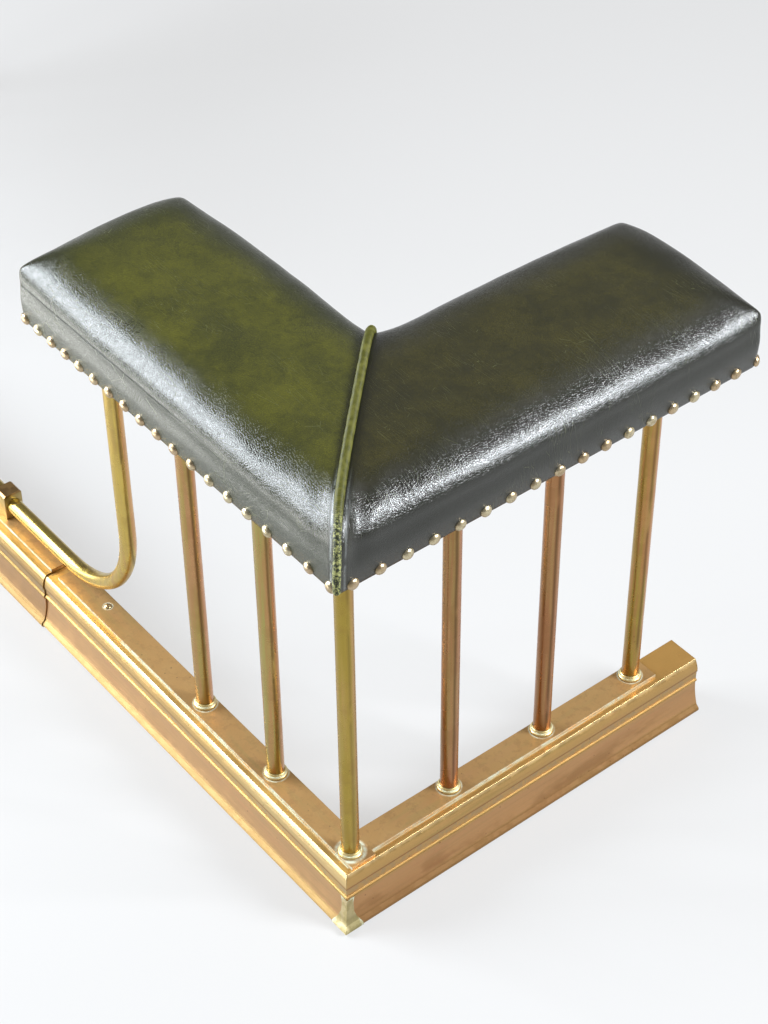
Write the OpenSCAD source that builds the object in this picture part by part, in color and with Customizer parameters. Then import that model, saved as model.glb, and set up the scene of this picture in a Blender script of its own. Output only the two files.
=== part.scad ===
// Adjustable brass club fender with leather-covered corner seats.
// Two mirror-image corner sections slide in a centre sleeve.
// Frame: X along the front, +Y towards the wall, Z up; the front faces -Y.
// Pieces of a corner section are drawn from its outer foot corner.

/* [Overall] */
// Length of the front, foot to foot, pushed in as in the photograph
front_length = 1500; // [1480:10:1800]
// Height of the kerb's lip above the floor
kerb_h = 63; // [60:1:66]
// Depth of the kerb from its foot to its back
kerb_depth = 44; // [42:1:50]
// Length of each return, foot corner to its end
return_length = 428; // [400:1:470]
// Height of the seat's underside
seat_z = 403; // [370:1:440]

/* [Sliding] */
// Distance from a foot corner to the end of the sleeve
sleeve_from_corner = 495; // [480:5:560]
// Distance from a foot corner to the face of the rail block
block_from_corner = 586; // [570:1:620]
// Gap between the kerb strip and the sleeve's strip
strip_gap = 12; // [11:1:20]
// How far the inner ends of the sliding pieces stay from the centre
inner_end = 12; // [11:1:30]
// Clearance between the kerb and its sleeve
sleeve_clear = 0.4; // [0.3:0.1:0.6]
// How far the sleeve stands proud of the kerb
sleeve_proud = 1.5; // [1.2:0.1:2]

/* [Uprights] */
// Outer diameter of the brass tubes
tube_d = 16; // [14:0.5:18]
// Wall of the brass tubes
tube_wall = 1.2; // [1:0.1:1.6]
// Distance from the foot to the upright's axis
upright_in = 33; // [30:1:35]
// Spacing of the uprights
upright_pitch = 110; // [100:1:115]
// Height of the low rail's axis
rail_z = 82; // [80:1:88]
// Bend radius of the rail tube's axis
bend_r = 118; // [90:1:125]
// Outer diameter of the centre rail tube
outer_rail_d = 18; // [18:0.5:18.5]

/* [Kerb parts] */
// Thickness of the sheet brass
sheet = 1.2; // [1:0.1:1.4]
// Width of the flat raised bar
strip_w = 26; // [24:1:27]
// Thickness of the flat raised bar
strip_t = 3; // [2:0.5:4]
// Width of the rail block
block_w = 20; // [20:1:24]
// Height of the rail block
block_h = 30; // [28:1:34]

/* [Seat] */
// Distance from the foot line to the seat's outer face
seat_in = 6; // [4:1:10]
// Length of a seat arm from the foot corner
seat_reach = 458; // [440:1:470]
// Width of the seat
seat_w = 178; // [170:1:185]
// Height of the cushion's middle above its lower edge
crest_h = 70; // [64:1:76]
// Height at which the cushion's sides start to roll over
roll_z = 44; // [40:1:50]
// Width of the roll
roll_w = 60; // [45:1:70]
// How far the sides swell out
bulge = 2; // [0:0.5:3]
// How far the leather is drawn in at the mitre
seam_dip = 2.5; // [1:0.5:4]
// How far the mitre bows towards the front arm
seam_bow = 5; // [0:0.5:8]
// How far the inner side bellies out between the mitre and the end
belly = 4; // [0:0.5:5]
// How far the end's middle swells out
end_swell = 3; // [0:0.5:3]
// Thickness of the leather
leather_t = 1.8; // [1.4:0.1:2]
// Thickness of the seat boards
board_t = 18; // [16:1:20]
// Radius of the welt cord
piping_r = 3.5; // [2.5:0.1:4]
// Diameter of the nail heads
nail_d = 11.5; // [10:0.5:12]

/* [Hidden] */
$fn = 48;

// Overall placing: the origin is under the middle of the whole fender
half_front = front_length / 2;
nail_h = 3.4;
// The welt leans out over the foot line at the corner
welt_out = 2.76;
front_y = -(seat_reach + nail_h - welt_out) / 2;
sleeve_half = half_front - sleeve_from_corner;
block_x = half_front - block_from_corner;
block_l = 18;
front_kerb_len = half_front - inner_end;

// Kerb moulding: arcs and flats of its face, measured as [in from the foot, height]
toe_r = 3.4;
toe_lip = 9;
cove_top = 36;
cove_foot = 8;
cove_r = 84;
cove_in = 8.4;
bead_z = 37.8;
bead_r = 1.6;
fascia_in = 8.2;
ledge_z = 49.5;
ovolo_r = 23.3;
ovolo_in = 7.2;
rivet_first = 100;
rivet_pitch = 120;
strip_rivet_x = 418;
strip_rivet_in = 33.6;

// Flat bar and what stands on it
strip_z = kerb_h;
strip_top = strip_z + strip_t;
strip_in = kerb_depth - strip_w;
strip_corner_end = 13;
strip_return_end = 382;
sleeve_strip_z = kerb_h + sleeve_proud;
sleeve_strip_top = sleeve_strip_z + strip_t;
strip_inner_end = sleeve_from_corner - strip_gap;

// Uprights
tube_r = tube_d / 2;
tube_in_r = tube_r - tube_wall;
fit = 0.05;
corner_in = 29;
upright_places = [
    [-corner_in, corner_in],
    for (k = [1:2]) [-upright_in - k * upright_pitch, upright_in],
    for (k = [1:3]) [-upright_in, upright_in + k * upright_pitch]
];
rail_x = upright_in + 3 * upright_pitch;
rod_r = 4;
rod_foot = 51;
rod_head = 412;
nut_h = 6.5;
washer_h = 1.5;

// Seat
board_z = seat_z + 1;
board_top = board_z + board_t;
board_gap = 2.6;
rail_bar_w = 30;
rail_bar_t = 5;
screw_places = [88, 198, 308, 420];
end_r = 8;
seat_l = seat_reach - seat_in;
nail_z = seat_z + 4;
slack = 0.9;

function at(c, r, a) = [c[0] + r * cos(a), c[1] + r * sin(a)];
function flip(list) = [for (k = [len(list) - 1:-1:0]) list[k]];

// Face of the moulding, from the toe up to the lip, grown outwards by e
function kerb_face(e) = concat(
    [for (k = [0:5])
        let(low = 180 + asin(toe_r / max(toe_r + e, toe_r)), a = low + (115 - low) * k / 5)
        at([toe_r, toe_r], toe_r + e, a)],
    [for (k = [0:6])
        let(z = cove_foot + (cove_top - e - cove_foot) * k / 6)
        [cove_in - cove_r + sqrt(pow(cove_r - e, 2) - pow(z - cove_top, 2)), z]],
    bead_r + 2 * e > 0 ? bead_points(e) : [[fascia_in - e, cove_top - e]],
    [[fascia_in - e, ledge_z - e]],
    [for (k = [0:4])
        let(z = ledge_z - e + (kerb_h - ledge_z + 2 * e) * k / 4)
        [ovolo_in + ovolo_r - sqrt(pow(ovolo_r + e, 2) - pow(z - ledge_z, 2)), z]]
);

function bead_points(e) =
    let(reach = acos(max(e, 0) / (bead_r + e)))
    [for (k = [0:4]) at([fascia_in, bead_z], bead_r + e, 180 + reach - 2 * reach * k / 4)];

// Sheet-brass kerb: face, top and back in one bend
function kerb_section() = concat(
    [[toe_lip, 0]],
    kerb_face(0),
    [[kerb_depth, kerb_h], [kerb_depth, 0], [kerb_depth - sheet, 0],
     [kerb_depth - sheet, kerb_h - sheet]],
    flip(kerb_face(-sheet)),
    [[toe_lip, sheet]]
);

function sleeve_section() =
    let(out = sleeve_proud, inside = sleeve_clear)
    concat(
        kerb_face(out),
        [[kerb_depth + out, kerb_h + out], [kerb_depth + out, 0],
         [kerb_depth + inside, 0], [kerb_depth + inside, kerb_h + inside]],
        flip(kerb_face(inside))
    );

// A section drawn in the Y-Z plane and run along -X from x = 0
module run_left(length) {
    rotate([90, 0, -90])
        mirror([1, 0, 0])
            linear_extrude(height = length)
                children();
}

// Swaps the front arm and the return arm of a corner
module swap_arms() {
    mirror([1, 1, 0])
        children();
}

// Everything in front of the mitre, on the front arm's side
module front_of_mitre(reach) {
    linear_extrude(height = kerb_h + 20)
        polygon([[8, -8], [-reach - 8, -8], [-reach - 8, reach], [-reach, reach]]);
}

module on_side(side) {
    if (side == "left") {
        mirror([1, 0, 0])
            translate([half_front, front_y, 0])
                children();
    } else {
        translate([half_front, front_y, 0])
            children();
    }
}

// ---- Kerb ----

module kerb_rivet_holes(last) {
    for (x = [rivet_first:rivet_pitch:last]) {
        translate([-x, kerb_depth - 6, 30])
            rotate([-90, 0, 0])
                cylinder(r = 1.55, h = 8);
    }
}

module rod_holes(r) {
    for (p = upright_places) {
        translate([p[0], p[1], kerb_h - 6])
            cylinder(r = r, h = strip_t + 12);
    }
}

module strip_rivet_hole(r) {
    translate([-strip_rivet_x, strip_rivet_in, kerb_h - 6])
        cylinder(r = r, h = strip_t + 12);
}

module kerb_front() {
    color("darkgoldenrod")
        difference() {
            intersection() {
                run_left(front_kerb_len)
                    polygon(kerb_section());
                front_of_mitre(front_kerb_len);
            }
            kerb_rivet_holes(sleeve_from_corner - 20);
            rod_holes(rod_r + 0.3);
            strip_rivet_hole(1.55);
        }
}

module kerb_return() {
    color("darkgoldenrod")
        difference() {
            intersection() {
                swap_arms()
                    union() {
                        run_left(return_length)
                            polygon(kerb_section());
                        translate([sheet - return_length, 0, 0])
                            run_left(sheet)
                                polygon(concat(kerb_face(0),
                                    [[kerb_depth, kerb_h], [kerb_depth, 0]]));
                    }
                swap_arms()
                    front_of_mitre(return_length + sheet + 8);
                translate([-kerb_depth - 5, -10, -1])
                    cube([kerb_depth + 20, return_length + 10, kerb_h + 10]);
            }
            swap_arms()
                kerb_rivet_holes(return_length - 20);
            rod_holes(rod_r + 0.3);
        }
}

// Thin overlay on the cove and foot, wider at the bottom; its halves overlap a little
module cap_half() {
    intersection() {
        run_left(30)
            polygon(concat(kerb_face(0.7), flip(kerb_face(0))));
        translate([0.1, 0, 0])
            front_of_mitre(30);
        translate([0, 20, 0])
            rotate([90, 0, 0])
                linear_extrude(height = 30)
                    polygon([[2, 0], [-20, 0], [-19, 6], [-16, 11], [-14, 18],
                        [-14.5, 29], [-16.4, 35.4], [-8, 33.4], [2, 33.4]]);
    }
}

module corner_cap() {
    color("goldenrod")
        union() {
            cap_half();
            swap_arms()
                cap_half();
        }
}

module strip_front() {
    color("peru")
        difference() {
            translate([-strip_inner_end, strip_in, strip_z])
                cube([strip_inner_end - strip_corner_end, strip_w, strip_t]);
            rod_holes(rod_r + 0.3);
            strip_rivet_hole(1.55);
        }
}

module strip_return() {
    color("peru")
        difference() {
            translate([-kerb_depth, kerb_depth, strip_z])
                cube([strip_w, strip_return_end - kerb_depth, strip_t]);
            rod_holes(rod_r + 0.3);
        }
}

// Sheet-iron tray: bottom on the toe lip, edge turned up against the back
module base_frame() {
    back = kerb_depth - sheet - 0.1;
    front = toe_lip - 3;
    z = sheet + 0.1;
    t = 1.4;
    edge_h = 48;
    color("dimgray")
        difference() {
            union() {
                translate([-front_kerb_len + 4, front, z])
                    cube([front_kerb_len - 4 - front, back - front, t]);
                translate([-back, front, z])
                    cube([back - front, return_length - sheet - 1 - front, t]);
                translate([-front_kerb_len + 4, back - t, z])
                    cube([front_kerb_len - 4 - back + t, t, edge_h]);
                translate([-back, back - t, z])
                    cube([t, return_length - sheet - 1 - back + t, edge_h]);
            }
            kerb_rivet_holes(sleeve_from_corner - 20);
            swap_arms()
                kerb_rivet_holes(return_length - 20);
        }
}

// Domed head on a tapering shank, head up, seat at z = 0
module rivet(head_r, head_h, shank_r, shank_l) {
    ball_r = (head_r * head_r + head_h * head_h) / (2 * head_h);
    intersection() {
        translate([0, 0, head_h - ball_r])
            sphere(r = ball_r);
        cylinder(r = head_r, h = head_h + 1);
    }
    translate([0, 0, -shank_l])
        cylinder(r1 = shank_r * 0.5, r2 = shank_r, h = shank_l);
}

module back_rivets(last) {
    for (x = [rivet_first:rivet_pitch:last]) {
        translate([-x, kerb_depth, 30])
            rotate([-90, 0, 0])
                rivet(3.5, 1.4, 1.5, 4);
    }
}

module kerb_rivets() {
    color("gold") {
        back_rivets(sleeve_from_corner - 20);
        swap_arms()
            back_rivets(return_length - 20);
        translate([-strip_rivet_x, strip_rivet_in, strip_top])
            rivet(4, 2.6, 1.5, 6);
    }
}

// ---- Uprights and rail ----

module upright(place) {
    color("goldenrod")
        translate([place[0], place[1], strip_top])
            difference() {
                cylinder(r = tube_r, h = board_z - strip_top);
                translate([0, 0, -1])
                    cylinder(r = tube_in_r, h = board_z - strip_top + 2);
            }
}

// One round bar that follows the bent tube's axis
module rail_path(r, inner_x, top) {
    union() {
        translate([-rail_x, upright_in, rail_z + bend_r])
            cylinder(r = r, h = top - rail_z - bend_r);
        translate([-rail_x - bend_r, upright_in, rail_z + bend_r])
            rotate([-90, 0, 0])
                rotate_extrude(angle = 90)
                    translate([bend_r, 0])
                        circle(r = r);
        translate([-rail_x - bend_r, upright_in, rail_z])
            rotate([0, -90, 0])
                cylinder(r = r, h = inner_x - rail_x - bend_r);
    }
}

module rail_tube() {
    inner_x = half_front - inner_end;
    color("goldenrod")
        difference() {
            rail_path(tube_r, inner_x, board_z);
            rail_path(tube_in_r, inner_x + 1, board_z + 1);
        }
}

module collars() {
    ring = concat(
        [[tube_r + fit, 0]],
        [for (a = [-90:30:90]) at([tube_r + 1.2, 1.6], 1.6, a)],
        [for (a = [-60:30:90]) at([tube_r + 0.2, 4.5], 1.2, a)],
        [[tube_r + fit, 5.7]]
    );
    color("khaki")
        for (p = upright_places) {
            translate([p[0], p[1], strip_top])
                rotate_extrude()
                    polygon(ring);
        }
}

module tie_rods() {
    color("slategray") {
        for (p = upright_places) {
            translate([p[0], p[1], rod_foot])
                cylinder(r = rod_r, h = rod_head - rod_foot);
        }
        translate([-rail_x, upright_in, rod_head - 50])
            cylinder(r = rod_r, h = 50);
        translate([-rail_x, upright_in, rod_head - 45])
            cylinder(r = tube_in_r - fit, h = 25);
    }
}

module tie_nuts() {
    top = kerb_h - sheet;
    color("dimgray")
        for (p = upright_places) {
            translate([p[0], p[1], top - washer_h])
                difference() {
                    cylinder(r = 8, h = washer_h);
                    translate([0, 0, -1])
                        cylinder(r = rod_r + fit, h = washer_h + 2);
                }
            translate([p[0], p[1], top - washer_h - nut_h])
                difference() {
                    cylinder(r = 7.5, h = nut_h, $fn = 6);
                    translate([0, 0, -1])
                        cylinder(r = rod_r + fit, h = nut_h + 2);
                }
        }
}

// ---- Seat frame ----

module seat_screw(grow) {
    rotate_extrude()
        polygon([
            [0, -1.5 * grow], [4.5 + grow, -1.5 * grow], [4.5 + grow, 0.4],
            [2.2 + grow, 2.8], [2.2 + grow, 14], [0, 16]
        ]);
}

module seat_screw_set(grow) {
    for (d = screw_places) {
        translate([-d, upright_in, board_z])
            seat_screw(grow);
        translate([-upright_in, d, board_z])
            seat_screw(grow);
    }
}

module seat_screws() {
    color("slategray")
        seat_screw_set(0);
}

module rail_bar(grow) {
    low = upright_in - rail_bar_w / 2 - grow;
    long = seat_reach - 12 + grow;
    wide = rail_bar_w + 2 * grow;
    union() {
        translate([-long, low, board_z - grow])
            cube([long - low, wide, rail_bar_t + 2 * grow]);
        translate([-low - wide, low, board_z - grow])
            cube([wide, long - low, rail_bar_t + 2 * grow]);
    }
}

module seat_rod_holes(r) {
    for (p = concat(upright_places, [[-rail_x, upright_in]])) {
        translate([p[0], p[1], board_z - 3])
            cylinder(r = r, h = rod_head - board_z + 4);
    }
}

module seat_rail() {
    color("dimgray")
        difference() {
            rail_bar(0);
            seat_rod_holes(rod_r + fit);
            seat_screw_set(fit);
        }
}

// Outline of the boards on one arm: square at the corner, rounded at the end
module board_outline() {
    near = seat_in + board_gap;
    far = seat_in + seat_w - board_gap;
    end = seat_reach - board_gap;
    r = end_r - 2;
    union() {
        translate([-end + r, near])
            square([end - r - near, far - near]);
        translate([-end, near + r])
            square([r + 1, far - near - 2 * r]);
        for (y = [near + r, far - r]) {
            translate([-end + r, y])
                circle(r = r);
        }
    }
}

module board_cuts() {
    rail_bar(0.2);
    seat_rod_holes(rod_r + 0.5);
    seat_screw_set(fit);
}

module corner_half(low, lift) {
    near = seat_in + board_gap;
    far = seat_in + seat_w - board_gap;
    translate([-far, near - 1, board_z + lift])
        cube([far - near + 1, far - near + 1, board_t / 2 + low]);
}

module seat_board_front() {
    color("burlywood")
        difference() {
            translate([0, 0, board_z])
                linear_extrude(height = board_t)
                    board_outline();
            corner_half(1, board_t / 2);
            board_cuts();
        }
}

module seat_board_return() {
    color("burlywood")
        difference() {
            swap_arms()
                translate([0, 0, board_z])
                    linear_extrude(height = board_t)
                        board_outline();
            swap_arms()
                corner_half(1, -1);
            board_cuts();
        }
}

module dust_cloth() {
    gap = board_gap + 1;
    near = seat_in + gap;
    wide = seat_w - 2 * gap;
    long = seat_reach - end_r - near;
    color("darkslategray")
        difference() {
            union() {
                translate([-near - long, near, board_z - 0.8])
                    cube([long, wide, 0.7]);
                translate([-near - wide, near, board_z - 0.8])
                    cube([wide, long, 0.7]);
            }
            for (p = concat(upright_places, [[-rail_x, upright_in]])) {
                translate([p[0], p[1], board_z - 3])
                    cylinder(r = tube_r + 0.3, h = 6);
            }
        }
}

// ---- Cushion ----

// The roll is tighter and higher near the mitre and near the end
end_roll = 38;
function tight(x) = exp(-max(x, 0) / 22);
function side_top(q) = roll_z + 9 * q;
function roll_width(q) = roll_w - 30 * q;

// Half of the cushion's section, a depth t inside the leather, from height h0
function half_section(t, h0, q) =
    let(s = side_top(q), a = roll_width(q))
    concat(
        [for (k = [0:2])
            let(h = h0 + (s - h0) * k / 3)
            [t - bulge * sin(180 * max(h, 0) / s), h]],
        [for (k = [0:4])
            [a - (a - t) * cos(18 * k), s + (crest_h - s - t) * sin(18 * k)]],
        [for (k = [0:1])
            [a + (seat_w / 2 - a) * k / 2, crest_h - t]]
    );

function section(t, h0, q) =
    let(half = half_section(t, h0, q))
    concat(
        half,
        [[seat_w / 2, crest_h - t]],
        [for (p = flip(half)) [seat_w - p[0], p[1]]]
    );

// Rows along the arm: first at set distances from the mitre, then even,
// then at set distances from the end, then round the end's upright corners
seam_rows = [0, 4, 10, 22];
end_rows = [26, 16, 8];
even_rows = 4;
corner_rows = 3;
row_count = len(seam_rows) + even_rows + len(end_rows) + corner_rows;

// [distance from the mitre, share of the even part, distance from the end, angle]
function pad_row(i) =
    let(even = i - len(seam_rows) + 1, end = even - even_rows - 1)
    i < len(seam_rows) ? [seam_rows[i], 0, 400, 0]
    : even <= even_rows ? [22, even / even_rows, even == even_rows ? 38 : 400, 0]
    : end < len(end_rows) ? [400, 1, end_rows[end], 0]
    : [400, 1, 8, (end - len(end_rows) + 1) / corner_rows * 90];

// The end is crowned, and its inner corner is drawn down
end_crown = 4;
corner_drop = 8.5;

// How the mitre bows: least at its ends and none at the lower edge
function bow(p) = seam_bow * min(1, max(0, p[1]) / 50) * (0.7 - exp(-p[0] / 35));

// How far the roll over the end has risen at distance e from the end
function end_rise(e, t) = sqrt(1 - pow(1 - min(e, end_roll - t) / (end_roll - t), 2));
function lesser(a, b) = pow(pow(max(a, 0.001), -4) + pow(max(b, 0.001), -4) - 1, -0.25);

// One point of the cushion: row i along the arm, section point j, depth t, no lower
// than h0; the mitre bows by way (1 on the front arm, -1 on the return)
function pad_point(i, j, t, over, h0, way) =
    let(
        row = pad_row(i),
        q = tight(min(i < len(seam_rows) ? row[0] : 400, row[2] * (1 - sin(row[3])))),
        p = section(t, h0, q)[j],
        s = side_top(q),
        d = i < len(seam_rows) ? row[0] : 22 + 80 * row[1],
        dip = i < len(seam_rows) ? seam_dip * exp(-d / 6) : 0,
        rise = min(1, max(0, (p[1] - 24) / 30)),
        inner = pow(max(0, 2 * p[0] / seat_w - 1), 8),
        c1 = p[0] + 4 * exp(-d / 14) * inner * rise,
        round = (end_r - t) * (1 - cos(row[3])),
        c = seat_w / 2 + (c1 - seat_w / 2) * (1 - 2 * round / seat_w),
        l0 = c1 + seam_rows[len(seam_rows) - 1],
        last = seat_l - end_roll,
        l = i == 0 ? c1 - over
            : i < len(seam_rows) ? c1 + d
            : row[0] < 400 ? l0 + (last - l0) * row[1]
            : seat_l - row[2] + (end_r - t) * sin(row[3]),
        e = seat_l - t - l,
        lift = (p[1] - s) / (crest_h - s - t),
        h = p[1] <= s ? p[1] : s + (crest_h - s - t) * lesser(lift, end_rise(e, t)),
        shift = way * bow(p) * exp(-d / 30) / sqrt(2),
        up = min(1, max(0, (p[1] - 20) / 24)),
        across = max(0, 2 * p[0] / seat_w - 1),
        far = up * exp(-max(e, 0) / 16),
        arch = sin(180 * min(1, max(0, p[0] / seat_w))),
        full = up * pow(across, 3) * sin(180 * min(1, max(0, (l - c1) / (seat_l - c1)))),
        drawn = far * pow(across, 6)
    )
    [
        -seat_in - l - shift - end_swell * far * (0.4 + 0.6 * arch),
        seat_in + c - shift + belly * full - 3 * drawn,
        seat_z + h - dip * rise + 0.6 * belly * full + end_crown * far * arch - corner_drop * drawn
    ];

module pad_solid(t, h0, over, way) {
    n = len(section(t, h0, 0));
    points = [for (i = [0:row_count - 1]) for (j = [0:n - 1]) pad_point(i, j, t, over, h0, way)];
    last = (row_count - 1) * n;
    polyhedron(
        points = points,
        faces = concat(
            [for (i = [0:row_count - 2]) for (j = [0:n - 1])
                let(a = i * n + j, b = i * n + (j + 1) % n)
                [a, b + n, b]],
            [for (i = [0:row_count - 2]) for (j = [0:n - 1])
                let(a = i * n + j, b = i * n + (j + 1) % n)
                [a, a + n, b + n]],
            [for (j = [1:n - 2]) [0, j, j + 1]],
            [for (j = [1:n - 2]) [last, last + j + 1, last + j]]
        )
    );
}

module leather_cover(way) {
    difference() {
        pad_solid(0, 0, 0, way);
        pad_solid(leather_t, -2, 2, way);
    }
}

module leather_front() {
    color("darkolivegreen")
        leather_cover(1);
}

module leather_return() {
    color("darkolivegreen")
        swap_arms()
            leather_cover(-1);
}

module stuffing() {
    color("tan") {
        union() {
            pad_solid(leather_t + slack, board_top - seat_z + 0.2, 0.3, 1);
            swap_arms()
                pad_solid(leather_t + slack, board_top - seat_z + 0.2, 0.3, -1);
        }
    }
}

// Welt cord: follows the two covers' meeting edge, a radius outside it
module piping() {
    ring = section(0, 4, 1);
    n = len(ring);
    sides = 8;
    spine = [for (k = [0:n - 1])
        let(
            q = pad_point(0, k, 0, 0, 4, 1),
            before = ring[max(k - 1, 0)],
            after = ring[min(k + 1, n - 1)],
            run = norm(after - before),
            out = [-(after[1] - before[1]), after[0] - before[0]] / run,
            lift = piping_r * (0.45 + 0.3 * abs(out[1]) + 0.3 * max(0, out[0]))
        )
        [q[0] - lift * out[0], q[1] + lift * out[0], q[2] + lift * out[1]]];
    across = [1, 1, 0] / sqrt(2);
    points = [for (k = [0:n - 1])
        let(
            way = spine[min(k + 1, n - 1)] - spine[max(k - 1, 0)],
            up = cross(across, way) / norm(cross(across, way))
        )
        for (j = [0:sides - 1])
            spine[k] + piping_r * (cos(360 * j / sides) * across
                + sin(360 * j / sides) * up)];
    last = (n - 1) * sides;
    color("olivedrab")
        polyhedron(
            points = points,
            faces = concat(
                [for (k = [0:n - 2]) for (j = [0:sides - 1])
                    let(a = k * sides + j, b = k * sides + (j + 1) % sides)
                    [a, b, b + sides]],
                [for (k = [0:n - 2]) for (j = [0:sides - 1])
                    let(a = k * sides + j, b = k * sides + (j + 1) % sides)
                    [a, b + sides, a + sides]],
                [for (j = [1:sides - 2]) [0, j + 1, j]],
                [for (j = [1:sides - 2]) [last, last + j, last + j + 1]]
            )
        );
}

// ---- Nails ----

module nail() {
    rivet(nail_d / 2, nail_h, 0.9, 10);
}

// A nail on a vertical face at [x, y], pointing the way of angle a
module side_nail(x, y, a) {
    translate([x, y, nail_z])
        rotate([0, 90, a])
            nail();
}

// Set by hand from the mitre outwards, each gap a little less than the one before
module arm_nails(first, pitch, closing, count, inner_first) {
    // Nails sit on the swollen face of the leather at their own height
    swell = bulge * sin(180 * (nail_z - seat_z) / roll_z);
    inner_y = seat_in + seat_w + swell;
    inner_pitch = (seat_reach - 24 - inner_first) / 10;
    for (k = [0:count - 1]) {
        side_nail(closing * k * k - pitch * k - first, seat_in - swell, -90);
    }
    for (k = [0:10]) {
        side_nail(-inner_first - k * inner_pitch, inner_y, 90);
    }
    for (k = [0:5]) {
        side_nail(-seat_reach, seat_in + seat_w / 2 - 60 + 24 * k, 180);
    }
}

// A nail on the rounded corner of an arm's end: on the inner side, or on the outer one
module corner_nail(inner) {
    swell = bulge * sin(180 * (nail_z - seat_z) / roll_z);
    turn = end_r * (1 - sqrt(0.5)) - swell * sqrt(0.5);
    side_nail(-seat_reach + turn, inner ? seat_in + seat_w - turn : seat_in + turn,
        inner ? 135 : 225);
}

module upholstery_nails() {
    color("darkkhaki") {
        arm_nails(13.2, 27.7, 0.19, 19, 200);
        corner_nail(true);
        swap_arms() {
            arm_nails(20.8, 27, 0.09, 17, 200);
            corner_nail(true);
            corner_nail(false);
        }
    }
}

// ---- Centre section ----

module centre_kerb_sleeve() {
    color("darkgoldenrod")
        difference() {
            translate([sleeve_half, front_y, 0])
                run_left(2 * sleeve_half)
                    polygon(sleeve_section());
            dowel_places(2.05);
        }
}

module centre_strip() {
    color("peru")
        difference() {
            translate([-sleeve_half, front_y + strip_in, sleeve_strip_z])
                cube([2 * sleeve_half, strip_w, strip_t]);
            dowel_places(2.05);
        }
}

module centre_rail_tube() {
    half = block_x - 11;
    color("goldenrod")
        translate([-half, front_y + upright_in, rail_z])
            rotate([0, 90, 0])
                difference() {
                    cylinder(r = outer_rail_d / 2, h = 2 * half);
                    translate([0, 0, -1])
                        cylinder(r = tube_r + fit, h = 2 * half + 2);
                }
}

module rail_block() {
    bevel = 2;
    half = block_w / 2;
    color("goldenrod")
        difference() {
            translate([block_x, front_y + upright_in, sleeve_strip_top])
                run_left(block_l)
                    polygon([[-half, 0], [half, 0], [half, block_h - bevel],
                        [half - bevel, block_h], [-half + bevel, block_h],
                        [-half, block_h - bevel]]);
            translate([block_x - block_l - 1, front_y + upright_in, rail_z])
                rotate([0, 90, 0])
                    cylinder(r = tube_r + fit, h = block_l + 2);
            translate([block_x - block_l - 1, front_y + upright_in, rail_z])
                rotate([0, 90, 0])
                    cylinder(r = outer_rail_d / 2 + fit, h = 9);
            dowel_places(2.05);
        }
}

module dowel_places(r) {
    z = kerb_h + sleeve_clear + 0.1;
    for (s = [-1, 1]) {
        for (d = [-6, 6]) {
            translate([s * (block_x - block_l / 2 + d), front_y + upright_in, z - (r - 2) * 20])
                cylinder(r = r, h = 7.5 + (r - 2) * 20);
        }
    }
}

module rail_block_dowels() {
    color("slategray")
        dowel_places(2);
}

centre_kerb_sleeve();
centre_strip();
centre_rail_tube();
rail_block();  // right_rail_block
mirror([1, 0, 0]) rail_block();  // left_rail_block
rail_block_dowels();

on_side("right") kerb_front();  // right_kerb_front
on_side("right") kerb_return();  // right_kerb_return
on_side("right") corner_cap();  // right_corner_cap
on_side("right") strip_front();  // right_strip_front
on_side("right") strip_return();  // right_strip_return
on_side("right") base_frame();  // right_base_frame
on_side("right") kerb_rivets();  // right_kerb_rivets
on_side("right") upright(upright_places[0]);  // right_corner_upright
on_side("right") upright(upright_places[1]);  // right_front_upright_1
on_side("right") upright(upright_places[2]);  // right_front_upright_2
on_side("right") upright(upright_places[3]);  // right_return_upright_1
on_side("right") upright(upright_places[4]);  // right_return_upright_2
on_side("right") upright(upright_places[5]);  // right_return_upright_3
on_side("right") rail_tube();  // right_rail_tube
on_side("right") collars();  // right_collars
on_side("right") tie_rods();  // right_tie_rods
on_side("right") tie_nuts();  // right_tie_nuts
on_side("right") seat_rail();  // right_seat_rail
on_side("right") seat_board_front();  // right_seat_board_front
on_side("right") seat_board_return();  // right_seat_board_return
on_side("right") seat_screws();  // right_seat_screws
on_side("right") stuffing();  // right_stuffing
on_side("right") leather_front();  // right_leather_front
on_side("right") leather_return();  // right_leather_return
on_side("right") piping();  // right_piping
on_side("right") upholstery_nails();  // right_upholstery_nails
on_side("right") dust_cloth();  // right_dust_cloth

on_side("left") kerb_front();  // left_kerb_front
on_side("left") kerb_return();  // left_kerb_return
on_side("left") corner_cap();  // left_corner_cap
on_side("left") strip_front();  // left_strip_front
on_side("left") strip_return();  // left_strip_return
on_side("left") base_frame();  // left_base_frame
on_side("left") kerb_rivets();  // left_kerb_rivets
on_side("left") upright(upright_places[0]);  // left_corner_upright
on_side("left") upright(upright_places[1]);  // left_front_upright_1
on_side("left") upright(upright_places[2]);  // left_front_upright_2
on_side("left") upright(upright_places[3]);  // left_return_upright_1
on_side("left") upright(upright_places[4]);  // left_return_upright_2
on_side("left") upright(upright_places[5]);  // left_return_upright_3
on_side("left") rail_tube();  // left_rail_tube
on_side("left") collars();  // left_collars
on_side("left") tie_rods();  // left_tie_rods
on_side("left") tie_nuts();  // left_tie_nuts
on_side("left") seat_rail();  // left_seat_rail
on_side("left") seat_board_front();  // left_seat_board_front
on_side("left") seat_board_return();  // left_seat_board_return
on_side("left") seat_screws();  // left_seat_screws
on_side("left") stuffing();  // left_stuffing
on_side("left") leather_front();  // left_leather_front
on_side("left") leather_return();  // left_leather_return
on_side("left") piping();  // left_piping
on_side("left") upholstery_nails();  // left_upholstery_nails
on_side("left") dust_cloth();  // left_dust_cloth
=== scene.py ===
import bpy
import math
import numpy as np
from mathutils import Matrix, Vector, geometry, noise


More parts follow.
